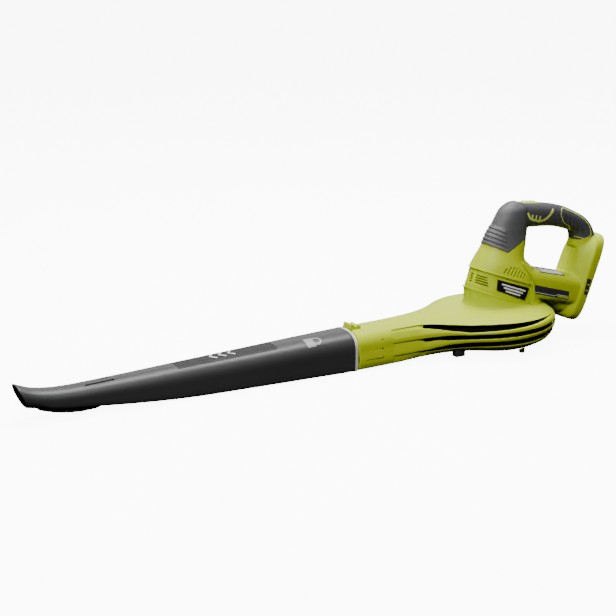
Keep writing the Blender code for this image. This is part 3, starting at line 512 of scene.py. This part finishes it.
def rod(start, end, radius, sides=24, end_radius=None):
    """A cylinder between two points, or a cone where it has an end radius."""
    start, end = Vector(start), Vector(end)
    turn = (end - start).to_track_quat("Z", "Y").to_matrix()
    rings = []
    for base, r in ((start, radius), (end, radius if end_radius is None else end_radius)):
        rings.append([base + turn @ Vector((r * math.cos(a), r * math.sin(a), 0))
                      for a in (2 * math.pi * i / sides for i in range(sides))])
    return loft(rings)


def turned(profile, centre, axis, steps=48):
    """A solid of revolution: profile of (radius, distance along the axis), from axis to axis."""
    turn = Vector(axis).to_track_quat("Z", "Y").to_matrix()
    rings = []
    for radius, along in profile:
        rings.append([Vector(centre) + turn @ Vector((radius * math.cos(a), radius * math.sin(a), along))
                      for a in (2 * math.pi * i / steps for i in range(steps))])
    return loft(rings)


def refine(rows, per, key=None):
    """The rows with smooth rows between them, on curves through the given ones."""
    rows = np.asarray(rows, float)
    if key is None:
        steps = np.linalg.norm(np.diff(rows, axis=0), axis=1)
        key = np.concatenate([[0.0], np.cumsum(steps)])
    slopes = np.gradient(rows, key, axis=0)
    out = []
    for i in range(len(rows) - 1):
        width = key[i + 1] - key[i]
        for t in np.arange(per) / per:
            out.append(rows[i] * (2 * t ** 3 - 3 * t * t + 1) + rows[i + 1] * (3 * t * t - 2 * t ** 3)
                       + width * (slopes[i] * (t ** 3 - 2 * t * t + t) + slopes[i + 1] * (t ** 3 - t * t)))
    out.append(rows[-1])
    return np.array(out)


def oval(centre, along, half_along, half_y, power, count):
    """A rounded section spanned by a direction in the XZ plane and by Y."""
    angles = 2 * math.pi * (np.arange(count) + 0.5) / count
    a = np.sign(np.cos(angles)) * np.abs(np.cos(angles)) ** (2 / power)
    b = np.sign(np.sin(angles)) * np.abs(np.sin(angles)) ** (2 / power)
    return centre + np.outer(a * half_along, along) + np.outer(b * half_y, (0, 1, 0))


def arch(angles, half, low, high, top_power=TOP_POWER, bottom_power=BOTTOM_POWER):
    """Points (y, z) of a tube section: rounded above, nearly square below."""
    angles = np.asarray(angles, float)
    power = np.where(np.sin(angles) >= 0, top_power, bottom_power)
    across = np.sign(np.cos(angles)) * np.abs(np.cos(angles)) ** (2 / power)
    up = np.sign(np.sin(angles)) * np.abs(np.sin(angles)) ** (2 / power)
    return half * across, (low + high) / 2 + (high - low) / 2 * up


def arch_ring(x, half, low, high, count=64, top_power=TOP_POWER, bottom_power=BOTTOM_POWER, lean=0.0):
    """A section across X; lean pushes its top forwards and its bottom back."""
    y, z = arch(2 * math.pi * (np.arange(count) + 0.5) / count, half, low, high, top_power, bottom_power)
    return np.stack([x - lean * (2 * z - low - high) / (high - low), y, z], axis=1)


# ---- the fan case and neck -------------------------------------------------

def half_outline(bend_steps, arc_steps):
    """Plan outline from the neck's front to the rear on the +Y side: points, inward normals, case shares."""
    join = math.radians(NECK_JOIN_ANGLE)
    start = np.array((NECK_STRAIGHT_END, NECK_HALF + 0.5))
    stop = CASE_RADIUS * np.array((math.cos(join), math.sin(join)))
    reach = np.linalg.norm(stop - start)
    leave = np.array((reach, 0.0))
    arrive = np.array((math.sin(join), -math.cos(join))) * reach
    points = [(x, NECK_HALF) for x in (NECK_FRONT, -240, -230, -222, -214, -206, -199, -193)]
    for t in np.arange(bend_steps) / bend_steps:
        points.append(start * (2 * t ** 3 - 3 * t * t + 1) + stop * (3 * t * t - 2 * t ** 3)
                      + leave * (t ** 3 - 2 * t * t + t) + arrive * (t ** 3 - t * t))
    for t in np.arange(arc_steps + 1) / arc_steps:
        points.append(CASE_RADIUS * np.array((math.cos(join * (1 - t)), math.sin(join * (1 - t)))))
    points = np.array(points, float)
    along = np.gradient(points, axis=0)
    along /= np.linalg.norm(along, axis=1)[:, None]
    normals = np.stack([along[:, 1], -along[:, 0]], axis=1)
    normals[-1] = (-1, 0)
    share = np.clip((points[:, 0] + 190.0) / 125.0, 0, 1)
    return points, normals, share * share * (3 - 2 * share)


def profile_at(x, share, shrink=0.0, per=4):
    """The shell's profile (inset, height) at a place of the outline, with its walls moved in by shrink."""
    low = 0.8 + 2.7 * min(max((x - NECK_FRONT) / 100.0, 0.0), 1.0)
    y, z = arch(np.radians(NECK_ANGLES), NECK_HALF, low, low + NECK_HEIGHT)
    levels = np.array(CASE_LEVELS)
    inset = (NECK_HALF - y) * (1 - share) + levels[:, 0] * share
    height = z * (1 - share) + levels[:, 1] * share
    middle = (low + NECK_HEIGHT / 2) * (1 - share) + CASE_MIDDLE * share
    half_height = NECK_HEIGHT / 2 * (1 - share) + (CASE_LEVELS[-1][1] - CASE_MIDDLE) * share
    widest = 1 - inset / (NECK_HALF * (1 - share) + CASE_RADIUS * share)
    inset = inset + shrink * widest ** 0.25
    height = middle + (height - middle) * (1 - shrink / half_height)
    return refine(np.stack([inset, height], axis=1), per)


def case_solid(shrink, front, bend_steps=30, arc_steps=60, per=4):
    """The neck and fan case as one solid: levels of the outline, zipped across at bottom and top."""
    points, normals, shares = half_outline(bend_steps, arc_steps)
    columns = []
    for point, normal, share in zip(points, normals, shares):
        profile = profile_at(point[0], share, shrink, per)
        spots = point + normal * profile[:, :1]
        columns.append(np.column_stack([spots, profile[:, 1]]))
    columns[0][:, 0] = front
    columns = np.array(columns)
    mirror = columns[-2::-1] * (1, -1, 1)
    rows = np.concatenate([columns, mirror]).transpose(1, 0, 2)
    count = rows.shape[1]
    last = count - 1
    faces = []
    for k in range(len(rows) - 1):
        for i in range(last):
            faces.append((k * count + i, k * count + i + 1, (k + 1) * count + i + 1, (k + 1) * count + i))
    for base in (0, (len(rows) - 1) * count):
        for i in range(last // 2 - 1):
            faces.append((base + i, base + i + 1, base + last - i - 1, base + last - i))
        middle = base + last // 2
        faces.append((middle - 1, middle, middle + 1))
    faces.append(tuple([k * count for k in range(len(rows))]
                       + [k * count + last for k in reversed(range(len(rows)))]))
    return mesh_object(to_world(rows.reshape(-1, 3)), faces)


def nozzle_section(x, inset):
    """Half width, bottom and top of the nozzle's outer section at x, less an inset."""
    rows = np.array(NOZZLE)[::-1]
    low, high, half = (np.interp(x, rows[:, 0], rows[:, i]) for i in (1, 2, 3))
    return half - inset, low + inset, high - inset


def spigot(inset, front, rear):
    return loft([arch_ring(x, *nozzle_section(x, inset)) for x in np.linspace(front, rear, 8)])


def louvre(knots, side):
    """A slit round the case's side with an eased upper lip and a slope below it."""
    points, normals, shares = half_outline(60, 110)
    theta = np.degrees(np.arctan2(points[:, 1], -points[:, 0]))
    knots = np.array(knots)
    rings = []
    for point, normal, share, angle in zip(points, normals, shares, theta):
        if not knots[0, 0] <= angle <= knots[-1, 0]:
            continue
        low, high, slope = (np.interp(angle, knots[:, 0], knots[:, i]) for i in (1, 2, 3))
        profile = profile_at(point[0], share)
        deep = np.interp(angle, *np.array(LOUVRE_DEPTHS).T)
        lip = min(0.7, 0.3 * (high - low))
        above, at_low, below = (np.interp(z, profile[:, 1], profile[:, 0])
                                for z in (high + lip, low, low - slope))
        outline = ((-6, high + lip), (above - 0.1, high + lip), (above + 0.3 * lip, high + 0.3 * lip),
                   (above + lip, high), (above + deep, high), (at_low + deep, low),
                   (at_low + min(deep * 0.8, 0.35 * slope + 0.3), low), (below - 0.1, low - slope),
                   (-6, low - slope))
        ring = []
        for inset, z in outline:
            spot = point + normal * inset
            ring.append((spot[0], side * spot[1], z))
        rings.append(ring)
    return loft(rings)


# ---- turret, grip, receiver and foot ---------------------------------------

def tower(inset, lowest=-FAR, flare=0.0):
    rows = refine(TOWER, 5, key=np.array(TOWER)[:, 0])
    rings = []
    for z, front, rear, half in rows[rows[:, 0] >= lowest]:
        grow = flare * math.exp(-max(z - DOME_TOP, 0.0) / 3.5) - inset
        centre = np.array(((front + rear) / 2, 0, z))
        rings.append(oval(centre, (1, 0, 0), (rear - front) / 2 + grow, half + grow, TOWER_POWER, 96))
    rings[-1][:, 2] -= inset
    return loft(rings)


def grip(inset):
    rings = []
    for outer_x, outer_z, inner_x, inner_z, half in refine(GRIP, 5):
        top, low = np.array((outer_x, 0, outer_z)), np.array((inner_x, 0, inner_z))
        length = np.linalg.norm(top - low)
        rings.append(oval((top + low) / 2, (top - low) / length, length / 2 - inset, half - inset,
                          GRIP_POWER, 64))
    return loft(rings)


def receiver(inset):
    return loft([arch_ring(x, RECEIVER_HALF - inset, low + inset, high - inset, 72, 3.4, 6.0)
                 for x, low, high in RECEIVER])


def foot_point(depth, u):
    """A point of the battery foot from its depth in front of the mouth and its height along the mouth."""
    return MOUTH_CENTRE - FOOT_OUT * depth + FOOT_UP * u


def foot_block(sections, power=5.0, count=72):
    return loft([oval(foot_point(depth, (low + high) / 2), FOOT_UP, (high - low) / 2, half, power, count)
                 for depth, low, high, half in sections])


def foot_shell(inset):
    """The battery foot with its sides moved in, for plates and grooves on its flange."""
    return foot_block([(depth, low + inset, high - inset, half - inset) for depth, low, high, half in FOOT])


def handle_solid(inset):
    return union(tower(inset, 126), grip(inset))


def outer_solid():
    """Everything the two housing halves enclose, with eased creases."""
    body = case_solid(0.0, NECK_FRONT)
    for part in (tower(0.0, flare=FLARE), grip(0.0), receiver(0.0), foot_block(FOOT), foot_block(HOOK, 3.0)):
        union(body, part)
    return remesh(body, SHELL_VOXEL, 8)


def cavity():
    """The air path, the hollow of turret and handle, and the battery socket, less posts and well."""
    space = case_solid(WALL, NECK_FRONT - 1.0, 16, 30, 2)
    for part in (spigot(NOZZLE_WALL + 2.5, SPIGOT_FRONT - 6, NECK_FRONT + 8), tower(TOWER_WALL),
                 grip(GRIP_WALL), receiver(RECEIVER_WALL), foot_block(RECESS), foot_block(FOOT_HOLLOW),
                 foot_block(TUNNEL), foot_block(HOOK_HOLLOW)):
        union(space, part)
    ledge = rod((0, 0, -5), (0, 0, LEDGE_TOP), CASE_RADIUS, 96)
    cut(ledge, rod((0, 0, -6), (0, 0, LEDGE_TOP + 1), INTAKE_RADIUS, 96))
    cut(space, ledge)
    for x, z, _ in SCREWS:
        cut(space, rod((x, -70, z), (x, 70, z), SCREW_POST, 20))
    half_x, half_y = BUTTON_HALF[0] + 2.3, BUTTON_HALF[1] + 2.3
    return cut(space, box((BUTTON_X - half_x, -half_y, WELL_FLOOR - 2), (BUTTON_X + half_x, half_y, 70.0)))


def half_of(solid, side):
    """The part of a solid on one side of the split plane; side is -1 for left."""
    low, high = sorted((SPLIT_GAP * side, FAR * side))
    return keep_inside(copy_of(solid), box((-FAR * 2, low, -FAR), (FAR * 2, high, FAR)))


# ---- details of the housing ------------------------------------------------

def slanted_slab(low, high, front, rear, y_low, y_high):
    """A slab between two parallel planes that fall towards the rear; heights are at the fan axis."""
    rings = []
    for x in (front, rear):
        a, b = low - BAND_SLOPE * x, high - BAND_SLOPE * x
        rings.append([(x, y_low, a), (x, y_high, a), (x, y_high, b), (x, y_low, b)])
    return loft(rings)


def skin(solid_at, outer, inner, region):
    """The layer between two insets of a surface, inside a region."""
    layer = keep_inside(solid_at(outer), region)
    return cut(layer, solid_at(inner))


def band(body):
    """The recessed band round the turret's front with a raised lip above and below it."""
    for low, high in ((BAND_TOP - 0.6, BAND_TOP + 2.0), (BAND_BOTTOM - 2.0, BAND_BOTTOM + 0.6)):
        union(body, skin(tower, -1.2, 2.0, slanted_slab(low, high, -70, 48.6, -60, 60)))
    return cut(body, skin(tower, -3.0, 1.7, slanted_slab(BAND_BOTTOM, BAND_TOP, -70, 46, -60, 60)))


def side_slots(body, side):
    """Four slots on the band's side, four short ones at its front, and seven slanted vents above it."""
    for row in range(4):
        height = BAND_BOTTOM + SLOT_START + row * SLOT_PITCH
        low, high = sorted((side * 9.0, side * PAST_SIDE))
        cut(body, slanted_slab(height, height + SLOT_HEIGHT, -70.0, -24.0, low, high))
        cut(body, slanted_slab(height, height + SLOT_HEIGHT, -70.0, -25.0, -3.6, 3.6))
    for index, tall in enumerate(VENT_LENGTHS):
        x = VENT_START + index * VENT_PITCH
        base = BAND_TOP + VENT_RISE - BAND_SLOPE * x
        low, high = sorted((0.0, side * PAST_SIDE))
        corners = (x - VENT_HALF, low, base), (x + VENT_HALF, high, base + tall)
        cut(body, box(*corners, VENT_TILT, (x, 0, base)))
    return body


def grip_regions(grow=0.0):
    """Where the soft covers lie: the front post above its V line, and the grip behind it."""
    seam = 46.8
    post = ((-60, 174.0 - grow), (11.0, 141.5 - grow), (seam, 156.5 - grow), (seam + grow, 230), (-60, 230))
    rear = ((seam - grow, 150), (137, 140 - grow), (200, 152 - grow), (200, 230), (seam - grow, 230))
    return prism(post, "Y", -50, 50), prism(rear, "Y", -50, 50)


def screw_holes(body, screw):
    """A bore through both halves and a sink for the head on the far side."""
    x, z, seat = screw
    cut(body, rod((x, -13, z), (x, seat + 1, z), SCREW_BORE, 16))
    return cut(body, rod((x, seat, z), (x, 90, z), SCREW_SINK, 32))


def slider_block(front, rear, low, high, half):
    """A block in the slider's own axes, lengths measured from its centre."""
    rings = []
    for distance in (front, rear):
        base = SLIDER_CENTRE + SLIDER_FORWARDS * distance
        rings.append([base + SLIDER_UP * z + np.array((0, y, 0))
                      for y, z in ((-half, low), (half, low), (half, high), (-half, high))])
    return loft(rings)


def switch_pocket(body):
    """Room for the thumb slider and for the stem below it."""
    reach, half = SLIDER_HALF
    cut(body, slider_block(reach + SLIDER_TRAVEL + 0.5, -reach - 0.5, -3.6, 12, half + 0.5))
    return cut(body, slider_block(SLIDER_TRAVEL + 5, -5, -12, 0, 4.0))


def side_film_outline(grow=0.0):
    """The label on the receiver's side, in XZ."""
    drop = 0.29
    top, low = 88.5 + grow, 75.5 - grow
    return [(56 - grow, low), (56 - grow, top), (122 + grow, top - drop * 66), (122 + grow, low - drop * 66)]


def top_film_outline(grow=0.0):
    """The label on the receiver's top, in XY."""
    return [(72 - grow, -27 - grow), (118 + grow, -27 - grow),
            (133 + grow, 27 + grow), (88 - grow, 27 + grow)]


def seams_and_ribs(body, side):
    """The rim behind the badge, the crease under the side label and the groove round the mouth's flange."""
    low, high = sorted((side * 24.0, side * PAST_SIDE))
    path = refine(((34, 124), (43, 112.5), (49, 104), (52.3, 96), (51.6, 79), (51.5, 62)), 4)
    union(body, skin(tower, -1.6, 2.0, ribbon(path, 2.6, "Y", low, high)))
    cut(body, skin(receiver, -2.0, 0.7, ribbon(((57, 68), (125, 48.5)), 1.0, "Y", low, high)))
    low, high = sorted((side * 5.0, side * PAST_SIDE))
    slot = foot_block(((13.8, -90, 90, 60), (14.8, -90, 90, 60)))
    keep_inside(slot, box((0, low, -50), (300, high, 250)))
    return cut(body, skin(foot_shell, -2.0, 0.9, slot))


def neck_marks(body):
    """Three shallow thumb grooves on each side of the neck, each ending in a deeper dimple."""
    for side in (-1, 1):
        for z in (41.5, 28.5, 15.5):
            cut(body, rod((-240, side * 34.9, z), (-213, side * 34.5, z), 0.7, 16, 1.1))
            cut(body, rod((-211, side * 40, z), (-211, side * 30.0, z), 1.7, 24))
    return body


def make_housing(outer, looks):
    body = copy_of(outer)
    union(body, spigot(NOZZLE_WALL + 0.4, SPIGOT_FRONT, NECK_FRONT + 4.0))
    cut(body, cavity())
    cut(body, rod((0, 0, -10), (0, 0, LEDGE_TOP - 1), INTAKE_RADIUS, 96))
    band(body)
    for side in (-1, 1):
        for knots in LOUVRES:
            cut(body, louvre(knots, side))
        side_slots(body, side)
        seams_and_ribs(body, side)
        low, high = sorted((side * 20.0, side * 50.0))
        cut(body, skin(receiver, -2.0, LABEL_SEAT, prism(side_film_outline(0.3), "Y", low, high)))
    cut(body, skin(receiver, -2.0, LABEL_SEAT, prism(top_film_outline(0.3), "Z", 80, 125)))
    for region in grip_regions(0.4):
        cut(body, skin(handle_solid, -3.0, COVER_SEAT, region))
    switch_pocket(body)
    half_x, half_y = BUTTON_HALF[0] + 0.5, BUTTON_HALF[1] + 0.5
    cut(body, box((BUTTON_X - half_x, -half_y, WELL_FLOOR), (BUTTON_X + half_x, half_y, 68.0)))
    neck_marks(body)
    for screw in SCREWS:
        screw_holes(body, screw)
    for side, word in ((-1, "left"), (1, "right")):
        piece(half_of(body, side), f"shell_{word}", looks["lime"], "housing", "lime", f"housing_{word}")
    drop(body)


def piece(obj, name, look, body, slot, *nodes, angle=32):
    """Finish a visible piece: name, material, shading, the body it rides on, and hiding the imported nodes it
    stands for.
    """
    obj.name = name
    obj.data.name = name
    obj.data.materials.clear()
    obj.data.materials.append(look)
    obj.data.shade_smooth()
    obj.data.set_sharp_from_angle(angle=math.radians(angle))
    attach(obj, body)
    if nodes:
        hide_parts(*nodes)
    return obj


def post_ribs(points, normals):
    """Five stepped ribs across the post's front."""
    x, z = points[:, 0], points[:, 2]
    along = (z + 0.45 * x - 146.0) / 34.0
    wave = np.clip((along * RIB_COUNT) % 1.0, 0, 1)
    rise = np.clip(wave / 0.25, 0, 1) * (1 - 0.75 * np.clip((wave - 0.25) / 0.75, 0, 1))
    step = np.where((along > 0) & (along < 1), rise, 0.0)
    front = np.clip(-normals[:, 0] * 3.0, 0, 1) * np.clip((14.0 - x) / 5.0, 0, 1)
    return RIB_RISE * step * front


def make_covers(outer, looks):
    for name, look, region in zip(("post", "grip"), ("post_grey", "grip_grey"), grip_regions()):
        cover = keep_inside(copy_of(outer), region)
        cut(cover, handle_solid(COVER_DEPTH))
        switch_pocket(cover)
        remesh(cover, COVER_VOXEL, 3)
        if name == "post":
            displace(cover, post_ribs)
        for x, z, _ in SCREWS:
            cut(cover, rod((x, 5, z), (x, 90, z), SCREW_SINK, 32))
        for side, word in ((-1, "left"), (1, "right")):
            stands_for = f"{'post' if name == 'post' else 'handle'}_grip_{word}"
            piece(half_of(cover, side), f"{name}_cover_{word}", looks[look], "housing", look, stands_for)
        drop(cover)


def make_plates(looks):
    for side, word in ((-1, "left"), (1, "right")):
        low, high = sorted((side * 15.0, side * PAST_SIDE))
        region = prism(((-15, 89.5), (31, 70.2), (41, 87.3), (-12, 105.3)), "Y", low, high)
        plate = skin(tower, 0.1, 1.4, region)
        piece(plate, f"badge_plate_{word}", looks["badge_black"], "housing", "badge_black", f"badge_{word}")
        for index in range(3):
            start = (-7 + 2.5 * index, 98.6 - 5.4 * index)
            reach = 40.0 - 8.0 * index
            stop = (start[0] + reach, start[1] - 0.37 * reach)
            bar = skin(tower, -PRINT_RISE, LABEL_DEPTH, ribbon((start, stop), 2.4, "Y", low, high))
            piece(bar, f"badge_bar_{word}_{index + 1}", looks["label_white"], "housing", "ring_grey")
        low, high = sorted((side * 20.0, side * 50.0))
        film = skin(receiver, 0.0, LABEL_DEPTH, prism(side_film_outline(), "Y", low, high))
        piece(film, f"side_film_{word}", looks["label_dark"], "housing", "label_dark", f"side_label_{word}")
        stripe = ribbon(((57, 77.6), (95, 66.6), (101, 67.6), (120, 62.4)), 0.9, "Y", low, high)
        line = skin(receiver, -PRINT_RISE, PRINT_DEPTH, stripe)
        piece(line, f"side_line_{word}", looks["label_white"], "housing", "ring_grey")
        wedge = prism(((99, 65.0), (103, 66.0), (121.6, 60.8), (121.6, 57.6)), "Y", low, high)
        wedge = skin(receiver, -PRINT_RISE, PRINT_DEPTH, wedge)
        piece(wedge, f"side_wedge_{word}", looks["lime"], "housing", "lime")
    film = skin(receiver, 0.0, LABEL_DEPTH, prism(top_film_outline(), "Z", 80, 125))
    piece(film, "top_film", looks["label_dark"], "housing", "label_dark", "top_label")
    strip = prism(((74.5, -25), (116.5, -25), (121.5, -8), (80, -8)), "Z", 80, 125)
    patch = skin(receiver, -PRINT_RISE, PRINT_DEPTH, strip)
    piece(patch, "top_patch", looks["label_white"], "housing", "ring_grey")


def make_inlays(looks):
    """Two-colour inlays in the grip's sides and a plain dark plate on the mouth's flange."""
    wave = refine(((52, 195.5), (56, 187.5), (66, 182.5), (78, 180.5), (88, 184), (95, 190), (101, 196)), 4)
    teeth = (((60, 184.5), (61, 192)), ((67, 182), (68, 190.5)), ((74, 180.5), (75, 188.5)))
    corners = ((114, 187), (119, 195), (131, 191), (150, 182), (163, 171.5), (171, 159), (171.5, 150),
               (162, 145), (150, 147.5), (143, 149.5), (134, 165), (120, 174.5), (114, 187))
    loop = refine(corners, 4)[:-1]
    for side, word in ((-1, "left"), (1, "right")):
        low, high = sorted((side * 6.0, side * PAST_SIDE))
        inlay = skin(grip, -0.15, 0.8, ribbon(wave, 3.4, "Y", low, high))
        for foot, tip in teeth:
            union(inlay, skin(grip, -0.15, 0.8, ribbon((foot, tip), 2.8, "Y", low, high)))
        piece(inlay, f"grip_teeth_{word}", looks["pale_lime"], "housing", "pale_lime")
        line = skin(grip, -0.15, 0.8, ribbon(loop, 1.2, "Y", low, high, closed=True))
        piece(line, f"grip_line_{word}", looks["pale_lime"], "housing", "pale_lime")
        for index in range(5):
            x, z = 124 + 7.5 * index, 187 - 5.2 * index
            rib = skin(grip, -0.1, 0.8, ribbon(((x, z), (x - 1.5 + index, z - 13.5)), 1.3, "Y", low, high))
            piece(rib, f"grip_hatch_{word}_{index + 1}", looks["label_dark"], "housing", "grip_grey")
        low, high = sorted((side * 20.0, side * PAST_SIDE))
        plate = prism(((148, 63), (154.5, 60.5), (162, 84), (154.5, 87)), "Y", low, high)
        plate = skin(foot_shell, -PRINT_RISE, LABEL_DEPTH, plate)
        piece(plate, f"mouth_plate_{word}", looks["label_dark"], "housing", "label_dark")
        for index in range(2):
            x, z = 153.5 + 3.2 * index, 68.0 + 8.5 * index
            dash = ribbon(((x - 2, z + 0.8), (x + 2, z - 0.8)), 2.4, "Y", low, high)
            bar = skin(foot_shell, -0.3, LABEL_DEPTH, dash)
            piece(bar, f"mouth_bar_{word}_{index + 1}", looks["lime"], "housing", "lime")


# ---- nozzle, latch, switch and feet ----------------------------------------

def nozzle_solid(inset, reach=0.0):
    table = np.array(NOZZLE)
    rows = refine(table, 6, key=-table[:, 0])
    count = len(rows)
    rings = []
    for i, (x, low, high, half, power) in enumerate(rows):
        share = i / (count - 1)
        lean = MOUTH_LEAN * max(0.0, share - 0.8) / 0.2
        at = x + reach if i == 0 else x - reach if i == count - 1 else x
        bottom = BOTTOM_POWER + (2.2 - BOTTOM_POWER) * min(1.0, share / 0.9)
        rings.append(arch_ring(at, half - inset, low + inset, high - inset, 80, power, bottom, lean))
    return loft(rings)


def make_nozzle(looks):
    tube = nozzle_solid(0.0)
    union(tube, loft([[(x, -half, 24), (x, half, 24), (x, half, low), (x, -half, low)]
                      for x, low, half in refine(SKID, 4)]))
    remesh(tube, 1.2, 4)
    cut(tube, nozzle_solid(NOZZLE_WALL, 6.0))
    panel = prism(((-525, -16), (-374, -19), (-374, 19), (-525, 16)), "Z", 20, 80)
    cut(tube, skin(nozzle_solid, -2.0, 0.5, panel))
    for path, width in ((((-657, -9.5), (-615, -8.5)), 4.2), (((-632, 4), (-620, 4)), 4.2)):
        cut(tube, skin(nozzle_solid, -2.0, 1.5, ribbon(path, width, "Z", 20, 80)))
    piece(tube, "nozzle_tube", looks["nozzle_black"], "nozzle", "nozzle_black", "nozzle")
    plate = prism(((-524.4, -15.6), (-374.6, -18.6), (-374.6, 18.6), (-524.4, 15.6)), "Z", 20, 80)
    plate = skin(nozzle_solid, 0.25, 0.48, plate)
    piece(plate, "nozzle_patch", looks["black_plastic"], "nozzle", "black_plastic")
    for index in range(3):
        x = -470 + index * 14
        mark = ribbon(((x + 7, -9), (x, 0), (x + 7, 9)), 3.0, "Z", 20, 80)
        mark = skin(nozzle_solid, 0.0, 0.22, mark)
        piece(mark, f"nozzle_chevron_{index + 1}", looks["label_white"], "nozzle", "ring_grey")
    lock = prism(((-330, -27), (-317, -27), (-317, -10), (-330, -10)), "Z", 20, 80)
    bow = refine(((-317.5, -24), (-310, -24), (-306, -18.5), (-310, -13), (-317.5, -13)), 4)
    union(lock, ribbon(bow, 2.6, "Z", 20, 80))
    piece(skin(nozzle_solid, -0.12, 0.4, lock), "lock_mark", looks["label_grey"], "nozzle", "ring_grey")
    ring = loft([arch_ring(x, 34.9 - ease, 0.4 + ease, 56.6 - ease) for x, ease in
                 ((-256.7, 0.5), (-256.2, 0.0), (-253.5, 0.0), (-253.0, 0.5))])
    cut(ring, loft([arch_ring(x, 32.6, 2.8, 54.2) for x in (-259, -251)]))
    piece(ring, "ring_band", looks["ring_grey"], "housing", "ring_grey", "nozzle_ring")


def make_button(looks):
    half_x, half_y = BUTTON_HALF
    skin_z = WELL_FLOOR + 17.0
    button = box((BUTTON_X - half_x, -half_y, skin_z - 10), (BUTTON_X + half_x, half_y, skin_z))
    crest = prism(((BUTTON_X - 9, skin_z - 1), (BUTTON_X - 7.5, skin_z + 3.6), (BUTTON_X - 4.5, skin_z + 4),
                   (BUTTON_X + 0.5, skin_z - 1)), "Y", -half_y, half_y)
    union(button, crest)
    ridge_x, ridge_z = BUTTON_X + 5.0, skin_z - 0.8
    union(button, rod((ridge_x, -half_y, ridge_z), (ridge_x, half_y, ridge_z), 2.8, 32))
    remesh(button, 0.5, 4)
    cut(button, box((BUTTON_X - 5, -5, WELL_FLOOR), (BUTTON_X + 5, 5, WELL_FLOOR + 12)))
    piece(button, "latch_button", looks["lime"], "button", "lime", "release_button")
    coil = frame["nodes"]["release_spring"]
    spring = copy_of(coil)
    spring.matrix_world = coil.matrix_world.copy()
    piece(spring, "latch_spring", looks["steel"], "housing", "steel", "release_spring")
    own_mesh(spring)


def make_switch(looks):
    reach, half = SLIDER_HALF
    slider = slider_block(reach, -reach, -3.1, 0.6, half)
    for index in range(4):
        at = -9.0 + 6.0 * index
        union(slider, slider_block(at + 1.4, at - 1.4, 0.0, 2.2, half - 1.0))
    union(slider, slider_block(3, -3, -9.0, -2.0, 3.0))
    remesh(slider, 0.45, 3)
    piece(slider, "thumb_slider", looks["pale_lime"], "slider", "pale_lime", "switch_slider")


def make_feet(looks):
    for name in ("foot_front_left", "foot_front_right"):
        low, high = (np.array(corner) / MM - (FAN_X, 0, 0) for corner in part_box(name))
        pad = bevelled(box(low, (high[0], high[1], 12.0)), 0.9)
        cut(pad, case_solid(-0.3, NECK_FRONT, 16, 40))
        piece(pad, name.replace("foot", "pad"), looks["rubber"], "housing", "rubber", name)
    for name in ("foot_rear_left", "foot_rear_right"):
        low, high = (np.array(corner) / MM - (FAN_X, 0, 0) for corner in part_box(name))
        centre, radius = (low + high) / 2, (high[0] - low[0]) / 2
        peg = turned(((radius - 1, 0.0), (radius, 1.0), (radius, 12.0)), (centre[0], centre[1], 0), (0, 0, 1))
        cut(peg, case_solid(-0.3, NECK_FRONT, 16, 40))
        piece(peg, name.replace("foot", "peg"), looks["lime"], "housing", "lime", name)


def make_screws(looks):
    for number, (x, z, seat) in enumerate(SCREWS, 1):
        profile = ((SCREW_HEAD, seat + 0.3), (SCREW_HEAD, seat + 2.0), (2.9, seat + 2.5), (2.2, seat + 2.7))
        head = turned(profile, (x, 0, z), (0, 1, 0), 32)
        union(head, rod((x, -11, z), (x, seat + 1.0, z), 1.6, 20))
        cut(head, rod((x, seat + 1.4, z), (x, seat + 5, z), 1.3, 6))
        piece(head, f"case_screw_{number}", looks["zinc"], "housing", "zinc", f"housing_screw_{number}")


def dress_frame(looks):
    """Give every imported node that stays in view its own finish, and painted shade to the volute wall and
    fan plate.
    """
    slots = {entry["node"]: entry["material_slot"] for entry in frame["record"]["subparts"]}
    for name, obj in frame["nodes"].items():
        obj.data.materials.clear()
        # The volute wall and fan plate take shadow_black in place of their own finish: painted shade seen
        # through the louvres and slots.
        look = "shadow_black" if name in ("volute_wall", "fan_plate") else slots[name]
        obj.data.materials.append(looks[look])


make_camera()
LOOKS = make_looks()
make_studio()
dress_frame(LOOKS)
OUTER = outer_solid()
make_housing(OUTER, LOOKS)
make_covers(OUTER, LOOKS)
drop(OUTER)
make_plates(LOOKS)
make_inlays(LOOKS)
make_nozzle(LOOKS)
make_button(LOOKS)
make_switch(LOOKS)
make_feet(LOOKS)
make_screws(LOOKS)
